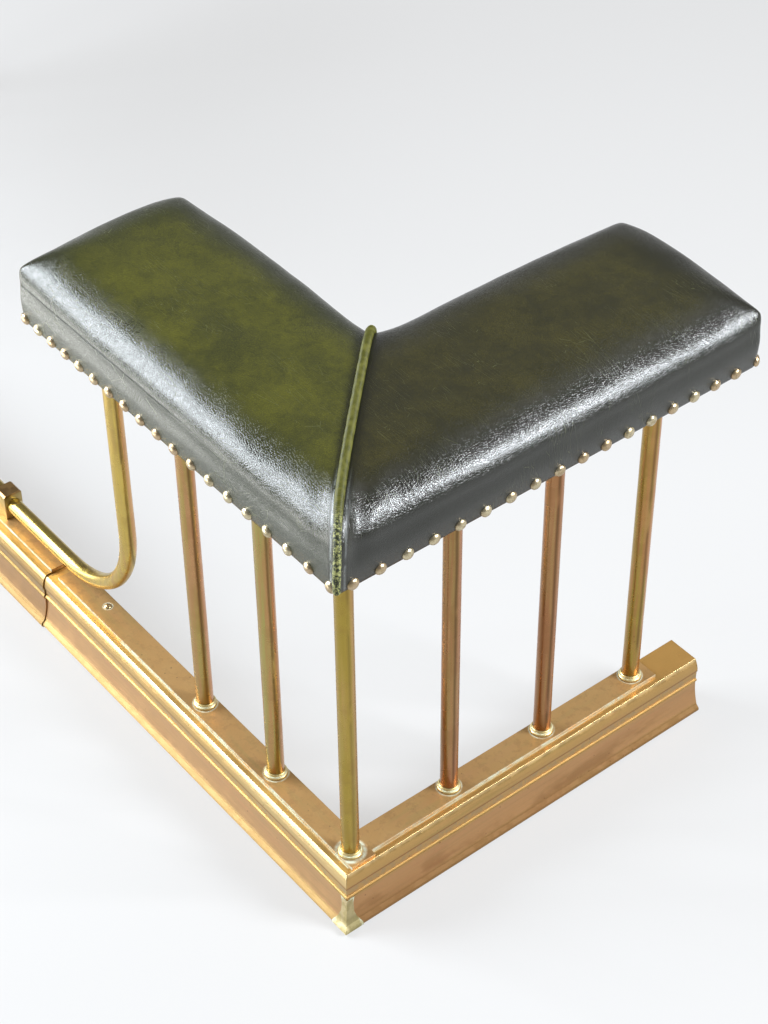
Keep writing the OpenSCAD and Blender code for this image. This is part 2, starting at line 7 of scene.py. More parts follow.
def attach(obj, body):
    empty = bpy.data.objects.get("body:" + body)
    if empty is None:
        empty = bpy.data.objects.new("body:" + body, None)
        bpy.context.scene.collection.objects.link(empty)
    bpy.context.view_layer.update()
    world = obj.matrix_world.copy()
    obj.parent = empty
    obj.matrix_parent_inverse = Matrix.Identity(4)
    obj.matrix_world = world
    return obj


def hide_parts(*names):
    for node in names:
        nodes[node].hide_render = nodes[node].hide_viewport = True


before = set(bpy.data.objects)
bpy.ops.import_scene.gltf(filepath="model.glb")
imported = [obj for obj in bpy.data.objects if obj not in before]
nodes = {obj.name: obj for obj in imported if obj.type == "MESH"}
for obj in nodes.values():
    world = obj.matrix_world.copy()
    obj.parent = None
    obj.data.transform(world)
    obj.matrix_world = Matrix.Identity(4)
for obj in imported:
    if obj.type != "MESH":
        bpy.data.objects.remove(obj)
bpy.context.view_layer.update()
mm = 0.001
whole = {"halfFront": 750, "frontY": -229.32, "seatZ": 403, "uprightIn": 33, "cornerIn": 29,
         "pitch": 110, "tubeR": 8}  # mm, as in the solids
sideSign = {"right": 1, "left": -1}
sideBody = {"right": "right_section", "left": "left_section"}
print("frame loaded,", len(nodes), "nodes")


# points are drawn in mm from a section's outer foot corner
def placed(points, side, arm="front"):
    p = np.array(points, float).reshape(-1, 3)
    if arm == "return":
        p = np.stack([-p[:, 1], -p[:, 0], p[:, 2]], 1)
    p = (p + np.array([whole["halfFront"], whole["frontY"], 0])) * mm
    p[:, 0] *= sideSign[side]
    return p


def turned(side, arm="front"):  # a mirrored copy needs its faces turned
    return (side == "left") != (arm == "return")


def newObject(name, data):
    thing = bpy.data.objects.new(name, data)
    bpy.context.scene.collection.objects.link(thing)
    return thing


def makePiece(name, points, faces, side, arm="front"):
    if turned(side, arm):
        faces = [f[::-1] for f in faces]
    mesh = bpy.data.meshes.new(name)
    mesh.from_pydata([tuple(p) for p in placed(points, side, arm)], [], [tuple(f) for f in faces])
    mesh.polygons.foreach_set("use_smooth", [True] * len(mesh.polygons))
    mesh.update()
    return newObject(name, mesh)


def uprightAt(arm, k):  # the k-th upright from the corner, in mm
    deep, along = whole["uprightIn"], whole["uprightIn"] + k * whole["pitch"]
    return (-along, deep) if arm == "front" else (-deep, along)


def clamp(value):  # kept between 0 and 1
    return min(1.0, max(0.0, value))


def gridFaces(rows, n, closed):
    step = n if closed else n - 1
    return [(i * n + j, i * n + (j + 1) % n, (i + 1) * n + (j + 1) % n, (i + 1) * n + j)
            for i in range(rows - 1) for j in range(step)]


def applyModifiers(piece):
    view = bpy.context.evaluated_depsgraph_get()
    made = bpy.data.meshes.new_from_object(piece.evaluated_get(view))
    old = piece.data
    piece.modifiers.clear()
    piece.data = made
    made.name = piece.name
    bpy.data.meshes.remove(old)


def thicken(piece, thickness, offset):
    wall = piece.modifiers.new("thickness", "SOLIDIFY")
    wall.thickness = thickness * mm
    wall.offset = offset
    applyModifiers(piece)


def addAttribute(piece, name, values):
    data = piece.data.attributes.new(name, "FLOAT", "POINT")
    data.data.foreach_set("value", np.asarray(values, np.float32))


# a wrapped socket that adds its own Math nodes
class Wire:
    def __init__(self, finish, socket):
        self.finish, self.socket = finish, socket

    def calc(self, kind, *others):
        step = self.finish.add("ShaderNodeMath", {"operation": kind}, {0: self})
        for k, other in enumerate(others):
            self.finish.feed(step, k + 1, other)
        return Wire(self.finish, step.outputs[0])

    def __add__(self, other):
        return self.calc("ADD", other)

    __radd__ = __add__

    def __mul__(self, other):
        return self.calc("MULTIPLY", other)

    __rmul__ = __mul__

    def __sub__(self, other):
        return self.calc("SUBTRACT", other)

    def __rsub__(self, other):
        return (self * -1) + other

    def __truediv__(self, other):
        return self.calc("DIVIDE", other)

    def __abs__(self):
        return self.calc("ABSOLUTE")

    def least(self, other):
        return self.calc("MINIMUM", other)

    def most(self, other):
        return self.calc("MAXIMUM", other)

    def clipped(self):
        return self.most(0.0).least(1.0)

    def ramp(self, low, high):  # 0 at low, 1 at high, smooth between them
        settings = {"interpolation_type": "SMOOTHSTEP", "clamp": True}
        step = self.finish.add("ShaderNodeMapRange", settings,
                               {"Value": self, "From Min": low, "From Max": high})
        return Wire(self.finish, step.outputs["Result"])

    def near(self, place, width):  # 1 at a place, 0 a width away from it
        return (1 - abs(self - place) / width).clipped()


class Finish:
    def __init__(self, name, **fixed):
        self.material = bpy.data.materials.new(name)
        self.material.use_nodes = True
        self.tree = self.material.node_tree
        self.tree.nodes.clear()
        self.out = self.tree.nodes.new("ShaderNodeOutputMaterial")
        self.body = self.tree.nodes.new("ShaderNodeBsdfPrincipled")
        self.tree.links.new(self.body.outputs[0], self.out.inputs[0])
        place = self.tree.nodes.new("ShaderNodeTexCoord")
        self.place = Wire(self, place.outputs["Object"])
        for key, value in fixed.items():
            self.body.inputs[key].default_value = value

    def feed(self, node, key, value):
        if isinstance(value, Wire):
            self.tree.links.new(value.socket, node.inputs[key])
        elif isinstance(value, (tuple, list)):
            spare = len(node.inputs[key].default_value) - len(value)
            node.inputs[key].default_value = tuple(value) + (1.0,) * spare
        else:
            node.inputs[key].default_value = value

    def add(self, kind, settings, inputs):
        node = self.tree.nodes.new(kind)
        for key, value in settings.items():
            setattr(node, key, value)
        for key, value in inputs.items():
            self.feed(node, key, value)
        return node

    def axes(self):
        split = self.add("ShaderNodeSeparateXYZ", {}, {0: self.place})
        return [Wire(self, split.outputs[k]) for k in range(3)]

    def stretched(self, size, shift, turn=(0, 0, 0)):  # size: the length in m that becomes one unit
        size = size if isinstance(size, tuple) else (size,) * 3
        node = self.add("ShaderNodeMapping", {}, {"Vector": self.place, "Location": shift,
                                                  "Rotation": turn, "Scale": tuple(1 / s for s in size)})
        return Wire(self, node.outputs[0])

    def cloud(self, size, detail=3.0, rough=0.5, shift=(0, 0, 0), warp=0.0):
        node = self.add("ShaderNodeTexNoise", {},
                        {"Vector": self.stretched(size, shift), "Scale": 1.0, "Detail": detail,
                         "Roughness": rough, "Distortion": warp})
        return Wire(self, node.outputs[0])

    def cells(self, size, feature="F1", shift=(0, 0, 0), turn=(0, 0, 0)):
        node = self.add("ShaderNodeTexVoronoi", {"feature": feature},
                        {"Vector": self.stretched(size, shift, turn), "Scale": 1.0, "Randomness": 1.0})
        return Wire(self, node.outputs["Distance"])

    def attribute(self, name):
        node = self.add("ShaderNodeAttribute", {"attribute_name": name}, {})
        return Wire(self, node.outputs["Fac"])

    def mix(self, share, a, b, blend="MIX"):
        settings = {"data_type": "RGBA", "blend_type": blend, "clamp_factor": True}
        node = self.add("ShaderNodeMix", settings, {0: share, 6: a, 7: b})
        return Wire(self, node.outputs[2])

    def bump(self, height, distance, strength=1.0, under=None):
        node = self.add("ShaderNodeBump", {},
                        {"Height": height, "Distance": distance, "Strength": strength})
        if under is not None:
            self.feed(node, "Normal", under)
        return Wire(self, node.outputs[0])

    def bevel(self, radius):
        node = self.add("ShaderNodeBevel", {"samples": 4}, {"Radius": radius})
        return Wire(self, node.outputs[0])

    def made(self, colour, rough, normal=None, metallic=None):
        given = {"Base Color": colour, "Roughness": rough, "Normal": normal, "Metallic": metallic}
        for key, value in given.items():
            if value is not None:
                self.feed(self.body, key, value)
        return self.material


def dress(material, *names):
    for name in names:
        mesh = nodes[name].data
        mesh.materials.clear()
        mesh.materials.append(material)


# the camera stands at the photograph's place, for a frame of 768 x 1024
shot = {"place": (1.74546, -0.96163, 1.58997), "yaw": 0.9064, "pitch": -0.7255, "roll": -0.011,
        "pixels": 2267.62, "high": 1024, "sensor": 36.0}  # m, radians, focal length in pixels, mm

cameraData = bpy.data.cameras.new("camera")
camera = newObject("camera", cameraData)
ahead = Vector((-math.sin(shot["yaw"]) * math.cos(shot["pitch"]),
                math.cos(shot["yaw"]) * math.cos(shot["pitch"]), math.sin(shot["pitch"])))
right = ahead.cross(Vector((0, 0, 1))).normalized()
up = right.cross(ahead)
rolledRight = right * math.cos(shot["roll"]) + up * math.sin(shot["roll"])
rolledUp = up * math.cos(shot["roll"]) - right * math.sin(shot["roll"])
turn = Matrix((rolledRight, rolledUp, -ahead)).transposed()
camera.matrix_world = Matrix.Translation(shot["place"]) @ turn.to_4x4()
cameraData.sensor_fit = "VERTICAL"
cameraData.sensor_height = shot["sensor"]
cameraData.sensor_width = shot["sensor"]
cameraData.lens = shot["pixels"] / shot["high"] * shot["sensor"]
cameraData.clip_start, cameraData.clip_end = 0.05, 50
bpy.context.scene.camera = camera
print("camera placed")


# each lamp: name, place, aim, size, power and tint
studio = {"floorHalf": 14.0, "floorGrey": 0.56, "floorShow": 0.87, "floorShare": 0.66, "world": 0.29,
          "lamps": (
              ("windowLeft", (-0.80, -1.30, 1.14), (0.50, -0.18, 0.45), (1.2, 1.0), 90, (0.88, 0.94, 1.0)),
              ("windowBack", (2.22, 1.08, 1.50), (0.7, 0.0, 0.45), (0.75, 0.8), 94, (0.92, 0.96, 1.0)),
              ("windowFar", (0.80, 1.60, 2.60), (0.6, 0.1, 0.45), (1.0, 1.0), 5, (0.92, 0.96, 1.0)),
              ("bounceLeft", (-0.15, -0.68, 0.02), (0.15, -0.15, 0.45), (1.1, 0.5), 10, (1.0, 0.99, 0.96)),
          )}

floorMesh = bpy.data.meshes.new("floor")
out = studio["floorHalf"]
floorMesh.from_pydata([(-out, -out, 0), (out, -out, 0), (out, out, 0), (-out, out, 0)],
                      [], [(0, 1, 2, 3)])
floor = newObject("floor", floorMesh)

cloth = Finish("floorCloth")  # partly a flat pale tone, so that it stays plain and keeps the shadow
cloth.tree.nodes.remove(cloth.body)
show = cloth.add("ShaderNodeLightPath", {}, {})
rays = [Wire(cloth, show.outputs[key]) for key in ("Is Camera Ray", "Is Glossy Ray", "Is Transmission Ray")]
seen = rays[0].most(rays[1]).most(rays[2])
matt = cloth.add("ShaderNodeBsdfDiffuse", {}, {"Color": (studio["floorGrey"],) * 3})
glow = cloth.add("ShaderNodeEmission", {}, {"Color": (studio["floorShow"],) * 3, "Strength": 1.0})
both = cloth.add("ShaderNodeMixShader", {}, {0: seen * studio["floorShare"]})
cloth.tree.links.new(matt.outputs[0], both.inputs[1])
cloth.tree.links.new(glow.outputs[0], both.inputs[2])
cloth.tree.links.new(both.outputs[0], cloth.out.inputs[0])
floorMesh.materials.append(cloth.material)

world = bpy.data.worlds.new("studio")
bpy.context.scene.world = world
world.use_nodes = True
world.node_tree.nodes["Background"].inputs[0].default_value = (0.97, 0.98, 1.0, 1.0)
world.node_tree.nodes["Background"].inputs[1].default_value = studio["world"]

for name, place, aim, size, power, tint in studio["lamps"]:
    lampData = bpy.data.lights.new(name, "AREA")
    lampData.shape = "RECTANGLE"
    lampData.size, lampData.size_y = size
    lampData.energy = power
    lampData.color = tint
    lamp = newObject(name, lampData)
    lamp.location = place
    lamp.rotation_euler = (Vector(aim) - Vector(place)).to_track_quat("-Z", "Y").to_euler()
    lamp.visible_camera = False
bpy.context.scene.view_settings.view_transform = "Standard"
print("studio lit")


# leather seat, in mm from its lower edge and from the mitre
seat = {"in": 6, "reach": 458, "width": 178, "crest": 70, "rollOut": 36, "rollIn": 44, "rollW": 60,
        "tightW": 30, "tightUp": 9, "tightOver": 22, "evenFrom": 22, "bulge": 2.0, "seamDip": 2.5,
        "seamBow": 5, "cornerOut": 4, "belly": 4, "endSwell": 3, "endCrown": 4, "cornerDrop": 8.5,
        "cornerDraw": 3, "endR": 8, "endRoll": 38, "leather": 1.8, "slack": 0.9, "padGap": 2.0,
        "padFoot": 1.4, "boardTop": 19.2, "nailRise": 4}
seatLong = seat["reach"] - seat["in"]
away = 400  # stands for a place far from the mitre or from the end
fineRows = {"seam": (0, 0.8, 1.6, 2.6, 4, 5.6, 7.5, 10, 12.5, 15.5, 18.5), "even": 56,
            "end": (34, 30, 26, 22, 18.5, 15.5, 12.5, 10), "turns": 9, "ring": (18, 20, 8)}
plainRows = {"seam": (0, 4, 10), "even": 14, "end": (26, 16), "turns": 3, "ring": (6, 8, 4)}


def seatRows(rows):  # mm from the mitre, share of the middle, mm from the end, angle round the end
    turns = [math.pi / 2 * k / rows["turns"] for k in range(rows["turns"] + 1)]
    found = [(d, 0.0, away, 0.0) for d in rows["seam"]]
    found += [(seat["evenFrom"], k / rows["even"], away, 0.0) for k in range(rows["even"] + 1)]
    found += [(away, 1.0, e, 0.0) for e in rows["end"]]
    return found + [(away, 1.0, seat["endR"], angle) for angle in turns]


def seatRing(q, inset, low, counts):  # section across the arm, tighter and higher where q nears 1
    nSide, nRoll, nFlat = counts
    wide, half = seat["rollW"] - seat["tightW"] * q, seat["width"] / 2
    sides, tops = [], []
    for rollZ in (seat["rollOut"], seat["rollIn"]):
        top = rollZ + seat["tightUp"] * q
        h = low + (top - low) * np.arange(nSide) / nSide
        swell = np.where(h < top / 2, np.sin(math.pi * h / top), 0.5 - 0.5 * np.cos(2 * math.pi * h / top))
        side = np.stack([inset - seat["bulge"] * swell, h], 1)
        a = math.pi / 2 * np.arange(nRoll) / nRoll
        roll = np.stack([wide - (wide - inset) * np.cos(a),
                         top + (seat["crest"] - top - inset) * np.sin(a)], 1)
        c = wide + (half - wide) * np.arange(nFlat) / nFlat
        flat = np.stack([c, np.full(nFlat, seat["crest"] - inset)], 1)
        sides.append(np.concatenate([side, roll, flat]))
        tops.append(top)
    inner = sides[1][::-1] * (-1, 1) + (seat["width"], 0)
    ring = np.concatenate([sides[0], [[half, seat["crest"] - inset]], inner])
    return ring, np.interp(ring[:, 0], (wide, seat["width"] - wide), tops)


def seatPoints(inset, low, rows, way):  # the mitre bows by way: 1 on the front arm, -1 on the return
    half, last = seat["width"] / 2, seatLong - seat["endRoll"]
    span = last - half - seat["evenFrom"]
    points, marks = [], []
    for d, share, e, angle in seatRows(rows):
        middle = share > 0 or d == seat["evenFrom"]
        near = min(d, e * (1 - math.sin(angle)))
        if middle and e == away:
            near = min(seat["evenFrom"] + span * share, seat["endRoll"] + span * (1 - share))
        ring, top = seatRing(math.exp(-near / seat["tightOver"]), inset, low, rows["ring"])
        c, h = ring[:, 0], ring[:, 1]
        gap = seat["evenFrom"] + 80 * share if middle or e < away else d
        rise = np.clip((h - 24) / 30, 0, 1)
        c1 = c + seat["cornerOut"] * math.exp(-gap / 14) * np.maximum(0, c / half - 1) ** 8 * rise
        fall = (seat["endR"] - inset) * (1 - math.cos(angle))
        cOut = half + (c1 - half) * (1 - fall / half)
        if e < away:
            along = np.full(len(c), seatLong - e + (seat["endR"] - inset) * math.sin(angle))
        else:
            along = c1 + d + (last - c1 - seat["evenFrom"]) * share
        left = np.clip((seatLong - inset - along) / (seat["endRoll"] - inset), 0, 1)
        over = np.sqrt(1 - (1 - left) ** 2)
        high = seat["crest"] - top - inset
        lift = np.maximum((h - top) / high, 0.001)
        level = (lift ** -4.0 + np.maximum(over, 0.001) ** -4.0 - 1) ** -0.25
        hOut = np.where(h <= top, h, top + high * level)
        dip = seat["seamDip"] * math.exp(-d / 6) * rise
        bow = seat["seamBow"] * np.clip(h / 50, 0, 1) * (0.7 - np.exp(-c / 35))
        shift = way * bow * math.exp(-gap / 30) / math.sqrt(2)
        up, inner = np.clip((h - 20) / 24, 0, 1), np.maximum(0, c / half - 1)
        far = up * np.exp(-np.maximum(seatLong - inset - along, 0) / 16)
        arch = np.sin(math.pi * np.clip(c / half / 2, 0, 1))
        full = up * inner ** 3 * np.sin(math.pi * np.clip((along - c1) / (seatLong - c1), 0, 1))
        drawn = far * inner ** 6
        points.append(np.stack([-seat["in"] - along - shift - seat["endSwell"] * far * (0.4 + 0.6 * arch),
                                seat["in"] + cOut - shift + seat["belly"] * full
                                - seat["cornerDraw"] * drawn,
                                whole["seatZ"] + hOut - dip + 0.6 * seat["belly"] * full
                                + seat["endCrown"] * far * arch - seat["cornerDrop"] * drawn], 1))
        marks.append(np.stack([along - c1, cOut, along, hOut], 1))
    return np.array(points), np.array(marks)


# folds by the mitre: place along the arm, width and height
puckers = {"front": ((6.0, 5.5, 0.5), (21.0, 8.0, -0.5), (40.0, 10.0, 0.4)),
           "return": ((7.0, 5.5, 1.2), (20.0, 6.5, -1.6), (37.0, 9.0, 1.0), (60.0, 10.0, -0.5))}


def sculpt(points, marks, arm, seed):  # hand-made unevenness, with folds that run up from the corner
    normal = np.cross(np.gradient(points, axis=1), np.gradient(points, axis=0))
    normal /= np.maximum(np.linalg.norm(normal, axis=2, keepdims=True), 1e-9)
    shaped = points.copy()
    for i, j in np.ndindex(points.shape[:2]):
        gap, c, along, h = marks[i, j]
        loose = clamp((h - 8) / 20) * clamp(gap / 5) * clamp((seatLong - along) / 6)
        wave = 1.5 * noise.noise(Vector((along / 90, c / 60, h / 60 + seed)))
        wave += 0.5 * noise.noise(Vector((along / 30, c / 26, h / 24 + seed)))
        fold = sum(high * math.exp(-((gap - place) / wide) ** 2) for place, wide, high in puckers[arm])
        outer = math.exp(-max(0.0, c - 10) / 16) * clamp((h - 20) / 22)
        shaped[i, j] += normal[i, j] * (wave * loose + fold * outer * clamp(gap / 4))
    return shaped


def seatShell(name, side, arm, seed):
    way = 1 if arm == "front" else -1
    points, marks = seatPoints(0.0, 0.0, fineRows, way)
    shaped = sculpt(points, marks, arm, seed)
    nRow, nRing, _ = shaped.shape
    body, notes = list(shaped.reshape(-1, 3)), list(marks.reshape(-1, 4))
    faces = gridFaces(nRow, nRing, False)
    nSide, first = fineRows["ring"][0], (nRow - 1) * nRing
    rim = shaped[-1, :, 1]
    lines = []  # the upright face at the arm's end
    for i in range(nSide):
        a, b = first + i, first + nRing - 1 - i
        rise = clamp((seat["rollIn"] * i / nSide - 20) / 24)
        puff = math.sin(math.pi * max(0.0, i / nSide - 0.2) / 0.8)
        line = [a]
        for m in range(nSide + 1, nRing - nSide - 1):
            t = (rim[m] - rim[nSide]) / (rim[-nSide - 1] - rim[nSide])
            arch = math.sin(math.pi * t)
            p = body[a] + (body[b] - body[a]) * t
            p[0] -= puff * arch ** 0.6 + seat["endSwell"] * 0.6 * rise * arch
            p[2] += seat["endCrown"] * rise * arch
            line.append(len(body))
            body.append(p)
            notes.append(notes[a] * (1 - t) + notes[b] * t)
        lines.append(line + [b])
    lines.append([first + m for m in range(nSide, nRing - nSide)])
    for low, high in zip(lines, lines[1:]):
        faces += [(low[k], high[k], high[k + 1], low[k + 1]) for k in range(len(low) - 1)]
    piece = makePiece(name, body, faces, side, arm)
    for k, key in enumerate(("seamGap", "acrossSeat", "alongSeat", "riseSeat")):
        addAttribute(piece, key, np.array(notes)[:, k] * mm)
    return piece


def leatherFinish(name, arm, olive, deep, edge, foldHighlightShare, seed):
    skin = Finish(name, **{"Specular IOR Level": 0.55})
    seam, across = skin.attribute("seamGap"), skin.attribute("acrossSeat")
    along, rise = skin.attribute("alongSeat"), skin.attribute("riseSeat")
    width = seat["width"] * mm
    middle = (1 - abs(across / (width / 2) - 1)).ramp(0.10, 0.52)
    ends = (seatLong * mm - along).ramp(0.008, 0.060)
    seamSide = seam.ramp(0.0, 0.022) * 0.55 + 0.45
    big = skin.cloud(0.060, 4.0, 0.55, (seed, 0, 0), 0.4)
    small = skin.cloud(0.012, 6.0, 0.7, (0, seed, 0), 0.5)
    cloudy = (big * 0.6 + small * 0.5 - 0.05).ramp(0.32, 0.70)
    share = (middle * ends * seamSide * (cloudy * 0.65 + 0.35)).clipped()
    base = skin.mix(share, deep, olive)
    # the lower side takes the edge colour, which paints light and shade: a light grey reflection on the
    # front arm, near black as shade on the return
    base = skin.mix(rise.ramp(0.054, 0.038) * 0.8, base, edge)
    fleck = skin.cloud(0.0020, 3.0, 0.7, (0, 0, seed)).ramp(0.62, 0.76)
    base = skin.mix(fleck * share * 0.5, base, tuple(min(1.0, v * 2.0) for v in olive))
    scratches = None  # three sets of fine scratches, each its own way
    for k, (angle, size) in enumerate(((0.5, 0.040), (2.1, 0.055), (1.2, 0.032))):
        lines = skin.cells((size, size * 0.10, size), "DISTANCE_TO_EDGE", turn=(0, 0, angle))
        some = skin.cloud(0.05, 2.0, 0.5, (seed + k * 3.1, 4.0, 0)).ramp(0.56, 0.66)
        mark = lines.ramp(0.013, 0.0) * some
        scratches = mark if scratches is None else scratches.most(mark)
    base = skin.mix(scratches * 0.28, base, (0.16, 0.17, 0.07))
    # on the outer side the leather stands off the cord: the dark line of painted gap shade lies farther
    # out, beside a pale edge of painted highlight
    corner = across.ramp(0.050, 0.030)
    gapShade = skin.mix(corner, seam.ramp(0.0076, 0.0062), seam.near(0.0098, 0.0014))
    # painted shade in the gap between the leather and the cord
    base = skin.mix(gapShade * 0.8, base, (0.008, 0.009, 0.006))
    # painted highlight on the raised edge of the leather beside the cord, stronger on the front arm
    pale = seam.near(0.0074, 0.0017) * corner * skin.cloud(0.010, 3.0, 0.6, (seed, 1, 1)).ramp(0.30, 0.46)
    base = skin.mix(pale * foldHighlightShare, base, (0.46, 0.50, 0.50))
    grain = skin.cells(0.0017, "DISTANCE_TO_EDGE", (0, 0, seed)).ramp(0.0, 0.22)
    base = skin.mix((1 - grain) * 0.4, base, (0.010, 0.011, 0.006))
    height = grain * 0.55 + skin.cloud(0.0011, 2.0, 0.6) * 0.5 + scratches * -0.15
    if arm == "front":  # the hide has creased along the lower edge of the pad: a dent in the bump, with painted shade in its colour
        crease = rise.near(0.0389, 0.0011) * along.ramp(0.16, 0.24)
        base = skin.mix(crease * 0.7, base, (0.006, 0.007, 0.004))
        height = height + crease * -2.5
    rough = 0.17 + small * 0.08 + scratches * 0.12 + gapShade * 0.2
    return skin.made(base, rough, skin.bump(height, 0.00032, 0.55))


# lit and shaded copies of one leather: the front's lower side is painted light grey as reflected light, the
# return's colours are painted darker as shade
leatherLook = {
    "front": leatherFinish("leatherFront", "front", (0.088, 0.086, 0.008), (0.018, 0.021, 0.006),
                           (0.040, 0.046, 0.028), 0.55, 1.7),
    "return": leatherFinish("leatherReturn", "return", (0.044, 0.038, 0.008), (0.011, 0.011, 0.006),
                            (0.010, 0.011, 0.009), 0.2, 6.3)}

for side, more in (("right", 0), ("left", 20)):  # the left seat has its own unevenness
    for arm, seed in (("front", 3.0), ("return", 8.0)):
        cover = seatShell(side + "Leather" + arm.capitalize(), side, arm, seed + more)
        thicken(cover, seat["leather"], -1.0)
        cover.data.materials.append(leatherLook[arm])
        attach(cover, sideBody[side])
        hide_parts(side + "_leather_" + arm)
print("leather on")


# stuffing inside the leather
def stuffingPiece(side):
    gap, low = seat["leather"] + seat["slack"] + seat["padGap"], seat["boardTop"] + seat["padFoot"]
    body, faces = [], []
    for way in (1, -1):
        points = seatPoints(gap, low, plainRows, way)[0]
        nRow, nRing, _ = points.shape
        start = len(body)
        part = points.reshape(-1, 3)
        made = gridFaces(nRow, nRing, True)
        made.append(tuple(reversed(range(nRing))))
        made.append(tuple((nRow - 1) * nRing + j for j in range(nRing)))
        if way < 0:
            part = np.stack([-part[:, 1], -part[:, 0], part[:, 2]], 1)
            made = [f[::-1] for f in made]
        body += list(part)
        faces += [tuple(v + start for v in f) for f in made]
    return makePiece(side + "Stuffing", body, faces, side)


pad = Finish("hairPad")
tuft = pad.cloud(0.004, 6.0, 0.7)
padLook = pad.made(pad.mix(tuft, (0.30, 0.22, 0.13), (0.62, 0.52, 0.38)), 0.95, pad.bump(tuft, 0.002, 0.8))
for side in ("right", "left"):
    filling = stuffingPiece(side)
    filling.data.materials.append(padLook)
    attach(filling, sideBody[side])
    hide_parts(side + "_stuffing")
print("stuffing in")


# welt cord along the mitre, in mm
welt = {"radius": 3.8, "low": 4.0, "proud": 3.5, "rib": 1.5, "ribDepth": 0.22, "wobble": 0.25,
        "narrow": 0.18, "narrowTo": 88, "sides": 14, "step": 0.37}
weltRows = {"seam": (0,), "even": 1, "end": (16,), "turns": 1, "ring": (40, 40, 30)}


def weltTube():  # follows the seat's own section on the mitre
    line = seatPoints(0.0, welt["low"], weltRows, 1)[0][0]
    dc, dh = np.gradient((line[:, 1] - line[:, 0]) / 2), np.gradient(line[:, 2])
    run = np.hypot(dc, dh)
    out, up = -dh / run, dc / run
    lift = welt["proud"] * (0.45 + 0.3 * abs(up) + 0.3 * np.maximum(0, out))
    spine = line + np.stack([-lift * out, lift * out, lift * up], 1)
    across = np.array([1, 1, 0]) / math.sqrt(2)
    run = np.concatenate([[0], np.cumsum(np.linalg.norm(np.diff(spine, axis=0), axis=1))])
    even = np.arange(0, run[-1], welt["step"])
    spine = np.stack([np.interp(even, run, spine[:, k]) for k in range(3)], 1)
    way = np.gradient(spine, axis=0)
    way /= np.linalg.norm(way, axis=1, keepdims=True)
    upward = np.cross(across, way)
    upward /= np.linalg.norm(upward, axis=1, keepdims=True)
    body = []
    sides, total = welt["sides"], even[-1]
    for i, s in enumerate(even):
        narrow = 1 - welt["narrow"] * clamp((welt["narrowTo"] - s) / 30)
        end = math.sqrt(min(1.0, (min(s, total - s) + 0.12) / welt["radius"]))
        for j in range(sides):
            a = 2 * math.pi * j / sides
            rib = welt["ribDepth"] * math.sin(2 * math.pi * s / welt["rib"] - 1.2 * math.cos(a))
            wobble = welt["wobble"] * noise.noise(Vector((s / 9, math.cos(a), math.sin(a))))
            r = (welt["radius"] * narrow + rib + wobble) * end
            body.append(spine[i] + r * (math.cos(a) * across + math.sin(a) * upward[i]))
    n = len(even)
    faces = [f[::-1] for f in gridFaces(n, sides, True)]
    faces.append(tuple(range(sides)))
    faces.append(tuple((n - 1) * sides + j for j in reversed(range(sides))))
    return body, faces, even


def weltFinish():
    skin = Finish("weltLeather", **{"Specular IOR Level": 0.3})
    run, left = skin.attribute("weltRun"), skin.attribute("weltLeft")
    patch = skin.cloud(0.007, 4.0, 0.6, (2.0, 0, 0)).ramp(0.35, 0.65)
    lime = skin.mix(patch, (0.060, 0.061, 0.007), (0.122, 0.118, 0.020))
    worn = skin.cloud(0.0024, 4.0, 0.7).ramp(0.46, 0.58)
    dark = skin.mix(worn, (0.020, 0.024, 0.012), (0.32, 0.33, 0.12))
    base = skin.mix(run.ramp(0.082, 0.060), lime, dark)
    base = skin.mix(left.ramp(0.010, 0.003) * 0.7, base, (0.14, 0.15, 0.12))
    return skin.made(base, 0.42 + patch * 0.18, skin.bump(skin.cloud(0.0009, 3.0, 0.7), 0.0003, 0.6))


weltLook = weltFinish()
weltBody, weltFaces, run = weltTube()
for side in ("right", "left"):
    cord = makePiece(side + "Piping", weltBody, weltFaces, side)
    addAttribute(cord, "weltRun", np.repeat(run, welt["sides"]) * mm)
    addAttribute(cord, "weltLeft", np.repeat(run[-1] - run, welt["sides"]) * mm)
    cord.data.materials.append(weltLook)
    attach(cord, sideBody[side])
    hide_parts(side + "_piping")
print("piping sewn in")


# upholstery nails, by geometry nodes; each outer row: first nail, pitch, closing up, count
nails = {"outer": {"front": (13.2, 27.7, 0.19, 19), "return": (20.8, 27, 0.09, 17)},
         "innerFirst": 200, "innerLast": 24, "innerCount": 11, "endPitch": 24, "endCount": 6, "seed": 5}
nailSizes = {"Head radius": 5.75 * mm, "Head height": 3.4 * mm, "Shank radius": 0.9 * mm,
             "Shank length": 9.5 * mm, "Tilt": 0.10}


def nailPlaces():  # place of each nail, and which way it faces
    swell = seat["bulge"] * math.sin(math.pi * seat["nailRise"] / seat["rollIn"])
    z = whole["seatZ"] + seat["nailRise"]
    root = math.sqrt(0.5)
    turnIn = seat["endR"] * (1 - root) - swell * root
    far, middle = seat["in"] + seat["width"], seat["in"] + seat["width"] / 2
    inner, endHalf = nails["innerFirst"], (nails["endCount"] - 1) / 2
    innerPitch = (seat["reach"] - nails["innerLast"] - inner) / (nails["innerCount"] - 1)
    found = []
    for arm, (first, pitch, closing, count) in nails["outer"].items():
        spots = [(closing * k * k - pitch * k - first, seat["in"] - swell, 0, -1) for k in range(count)]
        spots += [(-inner - k * innerPitch, far + swell, 0, 1) for k in range(nails["innerCount"])]
        spots += [(-seat["reach"], middle + nails["endPitch"] * (k - endHalf), -1, 0)
                  for k in range(nails["endCount"])]
        if arm == "return":
            spots.append((-seat["reach"] + turnIn, seat["in"] + turnIn, -root, -root))
        spots.append((-seat["reach"] + turnIn, far - turnIn, -root, root))
        for x, y, nx, ny in spots:
            if arm == "return":
                x, y, nx, ny = -y, -x, -ny, -nx
            found.append(((x, y, z), (nx, ny)))
    return found


